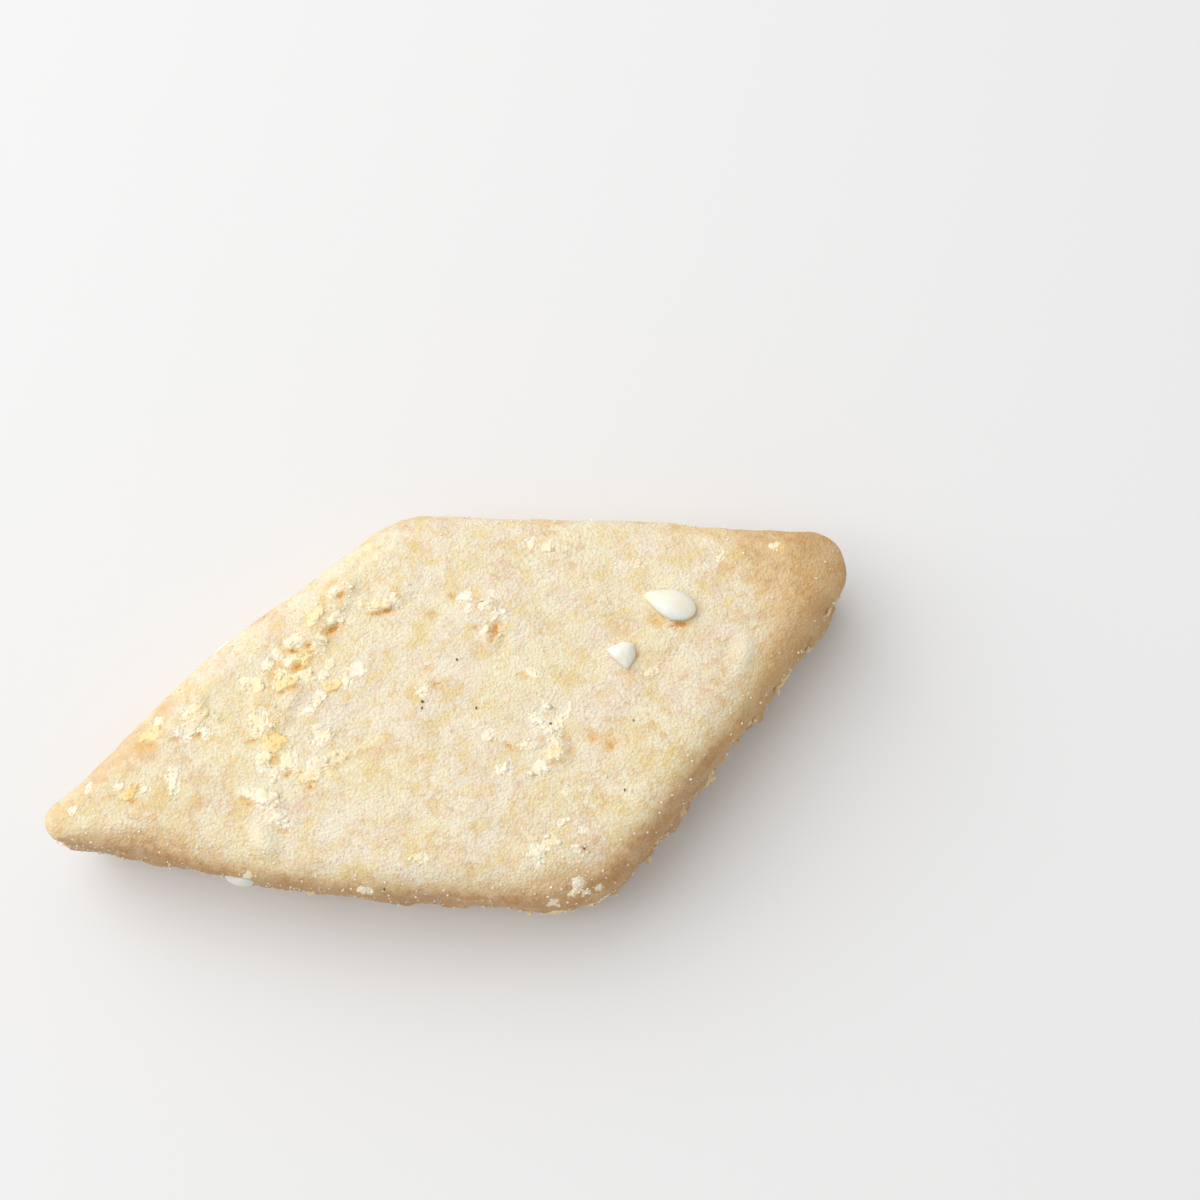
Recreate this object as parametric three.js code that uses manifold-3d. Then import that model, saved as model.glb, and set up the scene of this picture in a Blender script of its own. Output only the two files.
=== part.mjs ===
// A butter cookie: a diamond cut by hand from thick rolled dough and baked on a flat tray.
// Lengths are millimetres. X runs along the long diagonal, Z is up, and the base lies on Z = 0.
import * as THREE from "three";
import { mergeVertices } from "three/addons/utils/BufferGeometryUtils.js";
import Module from "manifold-3d";

// Driving dimensions
const thickness = 9;
const shoulderRadius = 2.1;
const frontShoulderRadius = 3.1;
const tipShoulderRadius = 1.4;
const halfWidth = 11.7;
const baseEdge = 0.7;
const bellyHeight = 4.5;
const footInset = 0.3;
const frontFootInset = 1;
const faceDome = 0.45;

// The diamond's corners before rounding, counterclockwise from the left tip.
// The bow is how far the side that follows each corner swells past a straight cut.
const corners = [
  { x: -27.6, y: 1.95, radius: 1.3, bow: 0.75 },
  { x: 3.6, y: -14.75, radius: 6, bow: 0.1 },
  { x: 29.2, y: 1.3, radius: 2.6, bow: 0.2 },
  { x: 0.4, y: 13.5, radius: 6, bow: 0.85 },
];

// How finely the skin is divided: along each side, and down the side from face to base.
// Facets flatter than the tolerance are joined.
const sideCells = 44;
const wallCells = 10;
const shoulderRings = 3;
const shoulderRows = 2;
const flatTolerance = 0.015;

// Size and depth of the dough's unevenness
const faceWave = { size: 7, depth: 0.16, seed: 11 };
const faceRipple = { size: 2.6, depth: 0.1, seed: 12 };
const wallLump = { size: 3.6, depth: 0.35, seed: 21 };
const wallCrag = { size: 1.6, depth: 0.32, seed: 22 };
const footCrag = { size: 2.3, depth: 0.5, seed: 23 };
const layering = 1.5;
const frontCalm = 0.45;
const basePit = { size: 2.4, depth: 0.5, from: 0.42, seed: 31 };

// Where the dough slumped outwards at the foot, on the side that follows the front corner
const slump = { end: 0.24, bulge: 0.2 };

// A ridge of loose dough that baked on near the back left side
const doughRidge = {
  route: [
    [-4.2, 9.8],
    [-6.9, 7.3],
    [-9.2, 5.8],
    [-10.6, 3.6],
  ],
  halfWidth: 1.4,
  fade: 0.7,
  rise: 0.12,
  crumb: { size: 1.7, depth: 0.14, seed: 41 },
};

// Rough patches on the face, where crumbs baked on: centre, half sizes, turn in degrees, rise
const roughPatches = [
  { x: -1.9, y: 8.0, long: 2.2, wide: 0.9, turn: 10, rise: 0.1 },
  { x: 3.4, y: 5.3, long: 1.5, wide: 1.1, turn: -30, rise: 0.12 },
  { x: 4.0, y: 3.0, long: 1.4, wide: 1.2, turn: 20, rise: 0.08 },
  { x: -15.9, y: 5.3, long: 2.4, wide: 0.9, turn: 25, rise: 0.15 },
  { x: -10.9, y: 1.9, long: 1.5, wide: 1.2, turn: 0, rise: 0.12 },
  { x: -9.0, y: -0.6, long: 1.9, wide: 1.5, turn: -40, rise: 0.12 },
  { x: -12.8, y: -2.0, long: 1.0, wide: 1.4, turn: 20, rise: 0.12 },
  { x: 4.3, y: -4.4, long: 1.1, wide: 1.6, turn: 15, rise: 0.12 },
];
const patchCrumb = { size: 1.2, depth: 0.1, seed: 42 };

// Sesame seeds: centre, turn in degrees, and how high the seed's middle lies over the skin.
// A wall seed stands on its side against the side that follows the named corner.
const seedSize = { length: 3.2, width: 1.95, height: 1 };
const faceSeeds = [
  { x: 14.4, y: 1.35, turn: 139, over: 0.22, scale: 1 },
  { x: 17.5, y: -3.1, turn: -124, over: -0.26, scale: 1 },
  { x: -13.5, y: -3.9, turn: -84, over: -0.3, scale: 0.9 },
];
const wallSeeds = [
  { corner: 0, along: 0.36, height: 5.2, turn: 70 },
  { corner: 2, along: 0.6, height: 4.4, turn: -15 },
  { corner: 3, along: 0.46, height: 5.6, turn: 40 },
];

// A broken bit of seed, and flat flakes of dough on the face: centre, half size, flatness and how
// high the middle lies over the skin
const faceNibs = [
  { x: 10.6, y: -0.6, size: 0.85, flat: 0.7, over: 0.12 },
  { x: -20.3, y: 1.8, size: 0.6, flat: 0.5, over: 0 },
  { x: -17.6, y: 1.4, size: 0.6, flat: 0.5, over: 0 },
  { x: -18.9, y: 5.0, size: 0.7, flat: 0.5, over: -0.05 },
  { x: -12.6, y: -2.2, size: 0.8, flat: 0.4, over: 0 },
  { x: 4.6, y: -3.3, size: 0.7, flat: 0.4, over: 0 },
  { x: 4.4, y: -5.0, size: 0.7, flat: 0.4, over: 0 },
  { x: 1.8, y: -9.9, size: 0.8, flat: 0.4, over: 0 },
  { x: 4.2, y: 4.4, size: 0.7, flat: 0.4, over: 0 },
];

// Nibs that stick out of the sides
const wallNibs = { perSide: 6, least: 0.4, most: 0.75, lowest: 0.8, highest: 3.4, seed: 51 };

const colour = 0xe9d2ac;
const roughness = 0.85;

// Hash of a whole-number cell to 0..1, the same on every run
const cellPrimes = [0x8da6b343, 0xd8163841, 0xcb1ab31f, 0x165667b1];
const mixFactors = [0x2c1b3c6d, 0x297a2d39];

function cellValue(i, j, k, seed) {
  let bits = [i, j, k, seed].reduce((sum, n, at) => sum ^ Math.imul(n, cellPrimes[at]), 0);
  bits = Math.imul(bits ^ (bits >>> 15), mixFactors[0]);
  bits = Math.imul(bits ^ (bits >>> 12), mixFactors[1]);
  return ((bits ^ (bits >>> 15)) >>> 0) / 2 ** 32;
}

const ease = (t) => t * t * (3 - 2 * t);
const smoothstep = (from, to, t) => ease(Math.min(1, Math.max(0, (t - from) / (to - from))));
const mix = (a, b, t) => a + (b - a) * t;

// Smooth noise from -1 to 1 whose lumps are about one size across. Its grid is turned away from
// the axes, so that the lumps don't line up with the cookie.
const cubeCorners = [0, 1].flatMap((i) => [0, 1].flatMap((j) => [0, 1].map((k) => [i, j, k])));
const gridTurn = [
  [0, 0.8, 0.6],
  [-0.8, 0.36, -0.48],
  [-0.6, -0.48, 0.64],
];

function lumps(x, y, z, size, seed) {
  const at = gridTurn.map(([a, b, c]) => (a * x + b * y + c * z) / size);
  const cell = at.map(Math.floor);
  const part = at.map((value, axis) => ease(value - cell[axis]));
  let sum = 0;
  for (const [i, j, k] of cubeCorners) {
    const weight =
      (i ? part[0] : 1 - part[0]) * (j ? part[1] : 1 - part[1]) * (k ? part[2] : 1 - part[2]);
    sum += weight * cellValue(cell[0] + i, cell[1] + j, cell[2] + k, seed);
  }
  return 2 * sum - 1;
}

const relief = (x, y, z, form) => form.depth * lumps(x, y, z, form.size, form.seed);

// The rounded corner at each point of the diamond: its arc's centre, first angle and sweep
function cornerArc(index) {
  const corner = corners[index];
  const before = corners[(index + 3) % 4];
  const after = corners[(index + 1) % 4];
  const back = new THREE.Vector2(before.x - corner.x, before.y - corner.y).normalize();
  const ahead = new THREE.Vector2(after.x - corner.x, after.y - corner.y).normalize();
  const half = Math.acos(back.dot(ahead)) / 2;
  const inward = back.clone().add(ahead).normalize();
  const centre = inward.multiplyScalar(corner.radius / Math.sin(half));
  centre.add(new THREE.Vector2(corner.x, corner.y));
  const start = Math.atan2(back.x, -back.y);
  return { centre, radius: corner.radius, start, sweep: Math.PI - 2 * half };
}
const arcs = corners.map((corner, index) => cornerArc(index));

function arcPoint(arc, part) {
  const angle = arc.start + arc.sweep * part;
  const normal = new THREE.Vector2(Math.cos(angle), Math.sin(angle));
  return { point: normal.clone().multiplyScalar(arc.radius).add(arc.centre), normal };
}

// A point of the outline on the side that follows a corner. It runs from the middle of that
// corner's arc, along the bowed cut, to the middle of the next corner's arc.
function outlineAt(side, along) {
  const first = arcs[side];
  const next = arcs[(side + 1) % 4];
  const start = arcPoint(first, 1);
  const end = arcPoint(next, 0);
  const straight = start.point.distanceTo(end.point);
  const firstArc = (first.radius * first.sweep) / 2;
  const nextArc = (next.radius * next.sweep) / 2;
  const travelled = along * (firstArc + straight + nextArc);
  if (travelled < firstArc) return arcPoint(first, 0.5 + (0.5 * travelled) / firstArc);
  const past = travelled - firstArc - straight;
  if (past > 0) return arcPoint(next, (0.5 * past) / nextArc);
  const part = (travelled - firstArc) / straight;
  const bow = corners[side].bow * Math.sin(Math.PI * part) ** 2;
  const point = start.point.clone().lerp(end.point, part).addScaledVector(start.normal, bow);
  return { point, normal: start.normal.clone() };
}

// The side and the place along it that a point of the square block's rim stands for
function rimPlace(u, v) {
  const reach = Math.max(Math.abs(u), Math.abs(v), 1e-9);
  const across = u / reach;
  const up = v / reach;
  if (up <= -1) return [0, (1 + across) / 2];
  if (across >= 1) return [1, (1 + up) / 2];
  if (up >= 1) return [2, (1 - across) / 2];
  return [3, (1 - up) / 2];
}

function distanceToRoute(x, y, route) {
  const here = new THREE.Vector2(x, y);
  let least = Infinity;
  for (let i = 1; i < route.length; i++) {
    const from = new THREE.Vector2(...route[i - 1]);
    const step = new THREE.Vector2(...route[i]).sub(from);
    const part = here.clone().sub(from).dot(step) / step.lengthSq();
    const nearest = from.addScaledVector(step, Math.min(1, Math.max(0, part)));
    least = Math.min(least, here.distanceTo(nearest));
  }
  return least;
}

// 1 in the middle of an oval patch, 0 from its edge outwards
function patchMask(x, y, patch) {
  const turn = THREE.MathUtils.degToRad(patch.turn);
  const dx = x - patch.x;
  const dy = y - patch.y;
  const along = (dx * Math.cos(turn) + dy * Math.sin(turn)) / patch.long;
  const across = (dy * Math.cos(turn) - dx * Math.sin(turn)) / patch.wide;
  return smoothstep(1.25, 0.45, Math.hypot(along, across));
}

// Height of the face over its level, with its dome, waves, ridge and crumbs
function faceRelief(x, y, reach) {
  let height = -faceDome * reach ** 4;
  height += relief(x, y, 0, faceWave) + relief(x, y, 0, faceRipple);
  const ragged = 0.5 * lumps(x, y, 0, 1.6, doughRidge.crumb.seed + 1);
  const away = distanceToRoute(x, y, doughRidge.route) + ragged;
  const ridge = smoothstep(doughRidge.halfWidth, doughRidge.halfWidth - doughRidge.fade, away);
  height += ridge * (relief(x, y, 0, doughRidge.crumb) + doughRidge.rise);
  for (const patch of roughPatches) {
    const mask = patchMask(x, y, patch);
    if (mask > 0) height += mask * (patch.rise + relief(x, y, 0, patchCrumb));
  }
  return height;
}

// How far the foot of a side bulges out, next to the front corner
function slumpAt(side, along) {
  return side === 1 ? slump.bulge * smoothstep(slump.end, slump.end / 2, along) : 0;
}

// How far the side stands out from the outline. It crumbles more towards the base, and its lumps
// lie in layers. The front left side is smoother and leans in under the face.
function wallRelief(x, y, z, normal, bulge = 0) {
  const low = smoothstep(0.85, 0.15, z / thickness);
  const frontLeft = smoothstep(0.6, 0.95, normal.dot(arcPoint(arcs[0], 1).normal));
  const inset = mix(footInset, frontFootInset, frontLeft) * smoothstep(bellyHeight, 0, z);
  const crags = relief(x, y, z * layering, wallLump) + relief(x, y, z * layering, wallCrag);
  const rough = crags * mix(0.3, 1, low) + relief(x, y, z, footCrag) * low ** 2;
  return rough * mix(1, frontCalm, frontLeft) + bulge * low - inset;
}

// Depth of the pits in the base
function baseRelief(x, y) {
  const pit = smoothstep(basePit.from, 1, lumps(x, y, 0, basePit.size, basePit.seed));
  return basePit.depth * pit;
}

// The shoulder is rounder at the front corner, where the dough slumped, and sharper at the left tip
function shoulderAt(side, along) {
  const nearFront = side === 0 ? along : side === 1 ? 1 - along : 0;
  const nearTip = side === 3 ? along : side === 0 ? 1 - along : 0;
  const radius = mix(shoulderRadius, frontShoulderRadius, smoothstep(0.72, 1, nearFront));
  return mix(radius, tipShoulderRadius, smoothstep(0.8, 1, nearTip));
}

// Carries a point of the block (u, v and w from -1 to 1) to its place on the cookie's skin
function skinPoint(u, v, w) {
  const reach = Math.max(Math.abs(u), Math.abs(v));
  const [side, along] = rimPlace(u, v);
  const rim = outlineAt(side, along);
  const shoulder = shoulderAt(side, along);
  const bulge = slumpAt(side, along);
  const ringStart = 1 - (2 * shoulderRings) / sideCells;
  const rowEnd = shoulderRows / wallCells;
  const footStart = 1 - 1 / wallCells;
  const down = (1 - w) / 2;
  if (down >= 1) {
    const x = rim.point.x * reach * (1 - baseEdge / halfWidth);
    const y = rim.point.y * reach * (1 - baseEdge / halfWidth);
    const foot = wallRelief(x, y, 0, rim.normal, bulge) * reach ** 8;
    const height = baseRelief(x, y) * smoothstep(1, 0.85, reach);
    return new THREE.Vector3(x + rim.normal.x * foot, y + rim.normal.y * foot, height);
  }
  let tilt = Math.PI / 2;
  if (down === 0) tilt = (Math.PI / 4) * Math.max(0, (reach - ringStart) / (1 - ringStart));
  else if (down < rowEnd) tilt = (Math.PI / 4) * (1 + down / rowEnd);
  const inset = (shoulder * (1 - Math.sin(tilt))) / halfWidth;
  const spread = (reach > ringStart ? 1 : reach / ringStart) * (1 - inset);
  const x = rim.point.x * spread;
  const y = rim.point.y * spread;
  let z = thickness - faceDome * 0.5 - shoulder * (1 - Math.cos(tilt));
  if (down > rowEnd) {
    const part = (down - rowEnd) / (footStart - rowEnd);
    z = mix(thickness - faceDome * 0.5 - shoulder, baseEdge, part);
  }
  const out = Math.sin(tilt) * wallRelief(x, y, z, rim.normal, bulge);
  z += Math.cos(tilt) * faceRelief(x, y, Math.min(1, spread));
  return new THREE.Vector3(x + rim.normal.x * out, y + rim.normal.y * out, z);
}

function cookieBody() {
  const block = new THREE.BoxGeometry(2, 2, 2, sideCells, sideCells, wallCells);
  const place = block.getAttribute("position");
  for (let i = 0; i < place.count; i++) {
    const point = skinPoint(place.getX(i), place.getY(i), place.getZ(i));
    place.setXYZ(i, point.x, point.y, point.z);
  }
  return block;
}

// A teardrop seed along X, pointed at its far end, round at the other
function seedShape(scale) {
  const seed = new THREE.SphereGeometry(0.5, 8, 6);
  seed.rotateZ(-Math.PI / 2);
  const place = seed.getAttribute("position");
  for (let i = 0; i < place.count; i++) {
    const slim = mix(1, 0.62, smoothstep(-0.2, 0.5, place.getX(i)));
    place.setXYZ(i, place.getX(i), place.getY(i) * slim, place.getZ(i) * mix(1, slim, 0.5));
  }
  return seed.scale(seedSize.length * scale, seedSize.width * scale, seedSize.height * scale);
}

// An uneven nib with flat facets, different for each seed number, as thick as flat times its width
function nibShape(size, flat, seed) {
  const nib = new THREE.IcosahedronGeometry(size, 0);
  const place = nib.getAttribute("position");
  for (let i = 0; i < place.count; i++) {
    const point = new THREE.Vector3().fromBufferAttribute(place, i);
    const [a, b, c] = point.toArray().map((value) => Math.round(value * 1000));
    point.multiplyScalar(mix(0.75, 1.2, cellValue(a, b, c, seed)));
    place.setXYZ(i, point.x, point.y, point.z * flat);
  }
  return nib;
}

// The face's height at a place, for what lies on it
function faceHeight(x, y) {
  const centre = new THREE.Vector2(x, y);
  const reach = Math.max(...arcs.map((arc, side) => {
    const rim = outlineAt(side, 0.5);
    return centre.dot(rim.normal) / rim.point.dot(rim.normal);
  }));
  return thickness - faceDome * 0.5 + faceRelief(x, y, reach);
}

function onFace(shape, { x, y, turn = 0, over }) {
  shape.rotateZ(THREE.MathUtils.degToRad(turn));
  return shape.translate(x, y, faceHeight(x, y) + over);
}

// Stands a shape against a side, its Z axis along the side's outward direction
function onWall(shape, side, along, height, turn, sink) {
  const rim = outlineAt(side, along);
  const bulge = slumpAt(side, along);
  const out = wallRelief(rim.point.x, rim.point.y, height, rim.normal, bulge) - sink;
  shape.rotateZ(THREE.MathUtils.degToRad(turn));
  shape.rotateX(Math.PI / 2);
  shape.rotateZ(Math.atan2(rim.normal.y, rim.normal.x) + Math.PI / 2);
  const x = rim.point.x + rim.normal.x * out;
  const y = rim.point.y + rim.normal.y * out;
  return shape.translate(x, y, height);
}

function wallNibShapes() {
  const shapes = [];
  for (let side = 0; side < 4; side++) {
    for (let i = 0; i < wallNibs.perSide; i++) {
      const draw = (item) => cellValue(side, i, item, wallNibs.seed);
      const size = mix(wallNibs.least, wallNibs.most, draw(0));
      const along = (i + mix(0.2, 0.8, draw(1))) / wallNibs.perSide;
      const height = mix(wallNibs.lowest, wallNibs.highest, draw(2));
      const nib = nibShape(size, 0.8, 100 * side + i);
      shapes.push(onWall(nib, side, along, height, 0, size * 0.7));
    }
  }
  return shapes;
}

const wasm = await Module();
wasm.setup();

function toSolid(geometry) {
  const bare = geometry.clone();
  bare.deleteAttribute("normal");
  bare.deleteAttribute("uv");
  const merged = mergeVertices(bare, 1e-4);
  const vertProperties = merged.getAttribute("position").array;
  const triVerts = new Uint32Array(merged.index.array);
  return new wasm.Manifold(new wasm.Mesh({ numProp: 3, vertProperties, triVerts }));
}

function toGeometry(solid) {
  const { vertProperties, triVerts } = solid.getMesh();
  const geometry = new THREE.BufferGeometry();
  geometry.setAttribute("position", new THREE.BufferAttribute(vertProperties, 3));
  geometry.setIndex(new THREE.BufferAttribute(triVerts, 1));
  geometry.computeVertexNormals();
  return geometry;
}

const baked = [
  ...faceSeeds.map((seed) => onFace(seedShape(seed.scale), seed)),
  ...faceNibs.map((nib, index) => onFace(nibShape(nib.size, nib.flat, index), nib)),
  ...wallSeeds.map((seed) => onWall(seedShape(1), seed.corner, seed.along, seed.height, seed.turn, 0.1)),
  ...wallNibShapes(),
];
let solid = toSolid(cookieBody());
for (const piece of baked) solid = solid.add(toSolid(piece));
solid = solid.simplify(flatTolerance);

const cookie = new THREE.Mesh(
  toGeometry(solid),
  new THREE.MeshStandardMaterial({ color: colour, roughness, metalness: 0 }),
);
cookie.name = "cookie";

const group = new THREE.Group();
group.add(cookie);
export default group;
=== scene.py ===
# %% [markdown]
# # A diamond butter cookie with sesame seeds
# The real thing is a lump of rich, sandy dough, rolled thick, cut into diamonds with a knife and
# baked pale on a flat tray. Its face is nearly flat, its shoulders are round, and its sides are
# crumbly where the knife tore the dough. The solid model already has that form, so this lesson
# loads it first and gives everything else its place from it.

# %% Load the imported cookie
import math

import bmesh
import bpy
import numpy as np
from mathutils import Matrix, Vector
from mathutils.bvhtree import BVHTree


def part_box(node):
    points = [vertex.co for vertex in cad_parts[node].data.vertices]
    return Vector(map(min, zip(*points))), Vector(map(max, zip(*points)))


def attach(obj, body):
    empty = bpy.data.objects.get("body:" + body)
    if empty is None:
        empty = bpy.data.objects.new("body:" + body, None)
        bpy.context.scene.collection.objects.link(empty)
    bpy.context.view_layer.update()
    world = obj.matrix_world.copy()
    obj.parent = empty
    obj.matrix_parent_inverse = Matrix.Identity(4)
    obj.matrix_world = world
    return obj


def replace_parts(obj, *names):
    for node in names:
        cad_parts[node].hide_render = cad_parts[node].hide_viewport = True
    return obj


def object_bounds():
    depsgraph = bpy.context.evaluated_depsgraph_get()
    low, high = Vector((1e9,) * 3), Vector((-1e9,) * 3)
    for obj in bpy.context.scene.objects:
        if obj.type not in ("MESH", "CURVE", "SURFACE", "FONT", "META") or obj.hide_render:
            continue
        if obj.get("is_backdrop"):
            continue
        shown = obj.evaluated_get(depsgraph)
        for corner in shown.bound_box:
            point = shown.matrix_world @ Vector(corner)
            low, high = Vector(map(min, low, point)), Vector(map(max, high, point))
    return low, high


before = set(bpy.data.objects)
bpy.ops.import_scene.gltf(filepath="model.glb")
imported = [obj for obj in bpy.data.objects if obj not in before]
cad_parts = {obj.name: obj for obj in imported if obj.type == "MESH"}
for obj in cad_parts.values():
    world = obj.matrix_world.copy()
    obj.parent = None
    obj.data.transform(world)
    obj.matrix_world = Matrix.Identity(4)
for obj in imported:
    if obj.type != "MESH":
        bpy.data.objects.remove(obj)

solid_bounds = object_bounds()
solid_low, solid_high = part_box("cookie")
print("solid cookie, mm:", [round(1000 * size, 1) for size in solid_high - solid_low])

# %% [markdown]
# ## The cookie's sizes
# A copy of the solid's coarse skin would show its facets close up. The cookie's form comes from a
# few sizes and a noise, so the same sizes can make it again with far smaller facets. They are in
# millimetres here, as in the solid's own source, and the meshes are turned into metres when made.

# %% Sizes shared with the solid
MM = 0.001
THICKNESS = 9
SHOULDER_RADIUS = 2.1
FRONT_SHOULDER_RADIUS = 3.1
TIP_SHOULDER_RADIUS = 1.4
HALF_WIDTH = 11.7
BASE_EDGE = 0.7
BELLY_HEIGHT = 4.5
FOOT_INSET = 0.3
FRONT_FOOT_INSET = 1
FACE_DOME = 0.45
UPWARD = np.array([0.0, 0.0, 1.0])
FLATTEN = np.array([1, 1, 0])

# Corners counterclockwise from the left tip: x, y, radius, and the bow of the side that follows
CORNERS = np.array([
    (-27.6, 1.95, 1.3, 0.75),
    (3.6, -14.75, 6, 0.1),
    (29.2, 1.3, 2.6, 0.2),
    (0.4, 13.5, 6, 0.85),
])

# Where the shoulder and the foot begin on the block that the skin is stretched over
RING_START = 1 - 6 / 44
ROW_END = 0.2
FOOT_START = 0.9

# %% [markdown]
# ## Noise that repeats
# Dough is uneven at every scale. A value noise gives each cell of a grid a random height and
# blends between cells. Blender has noise functions of its own, but the solid was made elsewhere,
# so both use this one: whole numbers are hashed the same way everywhere, and the lumps of the
# fine skin land exactly on the lumps of the solid.

# %% Value noise
CELL_PRIMES = np.array([0x8DA6B343, 0xD8163841, 0xCB1AB31F, 0x165667B1], np.uint32)
MIX_FACTORS = np.array([0x2C1B3C6D, 0x297A2D39], np.uint32)
GRID_TURN = np.array([(0, 0.8, 0.6), (-0.8, 0.36, -0.48), (-0.6, -0.48, 0.64)])


def smoothstep(start, end, t):
    t = np.clip((t - start) / (end - start), 0, 1)
    return t * t * (3 - 2 * t)


def mix(a, b, t):
    return a + (b - a) * t


def cell_value(cells, seed):
    """A random number from 0 to 1 for each whole-number cell (i, j, k)."""
    numbers = np.column_stack([cells, np.full(len(cells), seed)]).astype(np.uint32)
    bits = np.bitwise_xor.reduce(numbers * CELL_PRIMES, axis=1)
    bits = (bits ^ (bits >> 15)) * MIX_FACTORS[0]
    bits = (bits ^ (bits >> 12)) * MIX_FACTORS[1]
    return (bits ^ (bits >> 15)) / 2**32


def lumps(points, size, seed):
    """Smooth noise from -1 to 1 at points in millimetres, with lumps about one size across."""
    at = points @ GRID_TURN.T / size
    cells = np.floor(at).astype(np.int64)
    part = smoothstep(0, 1, at - cells)
    total = np.zeros(len(points))
    for corner in np.ndindex(2, 2, 2):
        weight = np.prod(np.where(corner, part, 1 - part), axis=1)
        total += weight * cell_value(cells + corner, seed)
    return 2 * total - 1


def grains(points, size, seed):
    """Rounded tops with sharp creases between them, from -1 to 1."""
    return 2 * np.abs(lumps(points, size, seed)) - 0.6


# %% [markdown]
# ## The diamond's outline
# Seen from above, the cookie is a diamond with four different corners: a sharp tip on the left,
# a blunter one on the right, and two wide ones. Each corner is an arc, and each side between two
# arcs is a straight cut with a slight bow. Working it out from arcs keeps the outline smooth at
# any number of points, which a traced list of points would not.

# %% Outline from four arcs
def unit(vectors):
    return vectors / np.linalg.norm(vectors, axis=-1, keepdims=True)


arc_back = unit(np.roll(CORNERS[:, :2], 1, axis=0) - CORNERS[:, :2])
arc_ahead = unit(np.roll(CORNERS[:, :2], -1, axis=0) - CORNERS[:, :2])
arc_half = np.arccos(np.sum(arc_back * arc_ahead, axis=1)) / 2
arc_radius = CORNERS[:, 2]
arc_centre = CORNERS[:, :2] + unit(arc_back + arc_ahead) * (arc_radius / np.sin(arc_half))[:, None]
arc_start = np.arctan2(arc_back[:, 0], -arc_back[:, 1])
arc_sweep = math.pi - 2 * arc_half
print("corner arcs, degrees:", np.degrees(arc_sweep).round(1))


def arc_point(corner, part):
    """Point and outward direction, part of the way round a corner's arc."""
    angle = arc_start[corner] + arc_sweep[corner] * part
    normal = np.column_stack([np.cos(angle), np.sin(angle)])
    return arc_centre[corner] + normal * arc_radius[corner][:, None], normal


def outline_at(side, along):
    """Point and outward direction on a side, from mid arc to mid arc."""
    following = (side + 1) % 4
    start, side_normal = arc_point(side, np.ones(len(side)))
    end, _ = arc_point(following, np.zeros(len(side)))
    straight = np.linalg.norm(end - start, axis=1)
    first_arc = (arc_radius * arc_sweep)[side] / 2
    next_arc = (arc_radius * arc_sweep)[following] / 2
    travelled = along * (first_arc + straight + next_arc)
    past = travelled - first_arc - straight
    part = np.clip((travelled - first_arc) / straight, 0, 1)
    bow = CORNERS[side, 3] * np.sin(math.pi * part) ** 2
    point = mix(start, end, part[:, None]) + side_normal * bow[:, None]
    first_point, first_normal = arc_point(side, 0.5 + 0.5 * travelled / first_arc)
    next_point, next_normal = arc_point(following, 0.5 * past / next_arc)
    on_first = (travelled < first_arc)[:, None]
    on_next = (past > 0)[:, None]
    point = np.where(on_first, first_point, np.where(on_next, next_point, point))
    normal = np.where(on_first, first_normal, np.where(on_next, next_normal, side_normal))
    return point, normal


# %% [markdown]
# ## Waves, baked-on dough and rough spots
# A baked face is never flat. It has a low dome, long waves from the rolling, a ridge of loose
# dough that baked on near the back left side, and smaller rough spots. These are the solid's own
# forms, so they repeat its sizes.

# %% Relief of the face
RIDGE_ROUTE = np.array([(-4.2, 9.8), (-6.9, 7.3), (-9.2, 5.8), (-10.6, 3.6)])
RIDGE_HALF_WIDTH = 1.4
RIDGE_FADE = 0.7
RIDGE_RISE = 0.12

# Rough patches: x, y, half length, half width, turn in degrees, rise
ROUGH_PATCHES = (
    (-1.9, 8.0, 2.2, 0.9, 10, 0.1),
    (3.4, 5.3, 1.5, 1.1, -30, 0.12),
    (4.0, 3.0, 1.4, 1.2, 20, 0.08),
    (-15.9, 5.3, 2.4, 0.9, 25, 0.15),
    (-10.9, 1.9, 1.5, 1.2, 0, 0.12),
    (-9.0, -0.6, 1.9, 1.5, -40, 0.12),
    (-12.8, -2.0, 1.0, 1.4, 20, 0.12),
    (4.3, -4.4, 1.1, 1.6, 15, 0.12),
)


def patch_mask(points, x, y, long, wide, turn, fade=0.45):
    """1 in the middle of an oval, 0 from its edge outwards."""
    turn = math.radians(turn)
    dx, dy = points[:, 0] - x, points[:, 1] - y
    along = (dx * math.cos(turn) + dy * math.sin(turn)) / long
    across = (dy * math.cos(turn) - dx * math.sin(turn)) / wide
    return smoothstep(1.25, fade, np.hypot(along, across))


def distance_to_route(points, route):
    least = np.full(len(points), np.inf)
    for start, end in zip(route, route[1:]):
        step = end - start
        part = np.clip((points[:, :2] - start) @ step / (step @ step), 0, 1)
        nearest = start + step * part[:, None]
        least = np.minimum(least, np.linalg.norm(points[:, :2] - nearest, axis=1))
    return least


def ridge_mask(flat):
    """1 on the ridge of baked-on dough, with a ragged edge."""
    away = distance_to_route(flat, RIDGE_ROUTE) + 0.5 * lumps(flat, 1.6, 42)
    return smoothstep(RIDGE_HALF_WIDTH, RIDGE_HALF_WIDTH - RIDGE_FADE, away)


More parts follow.
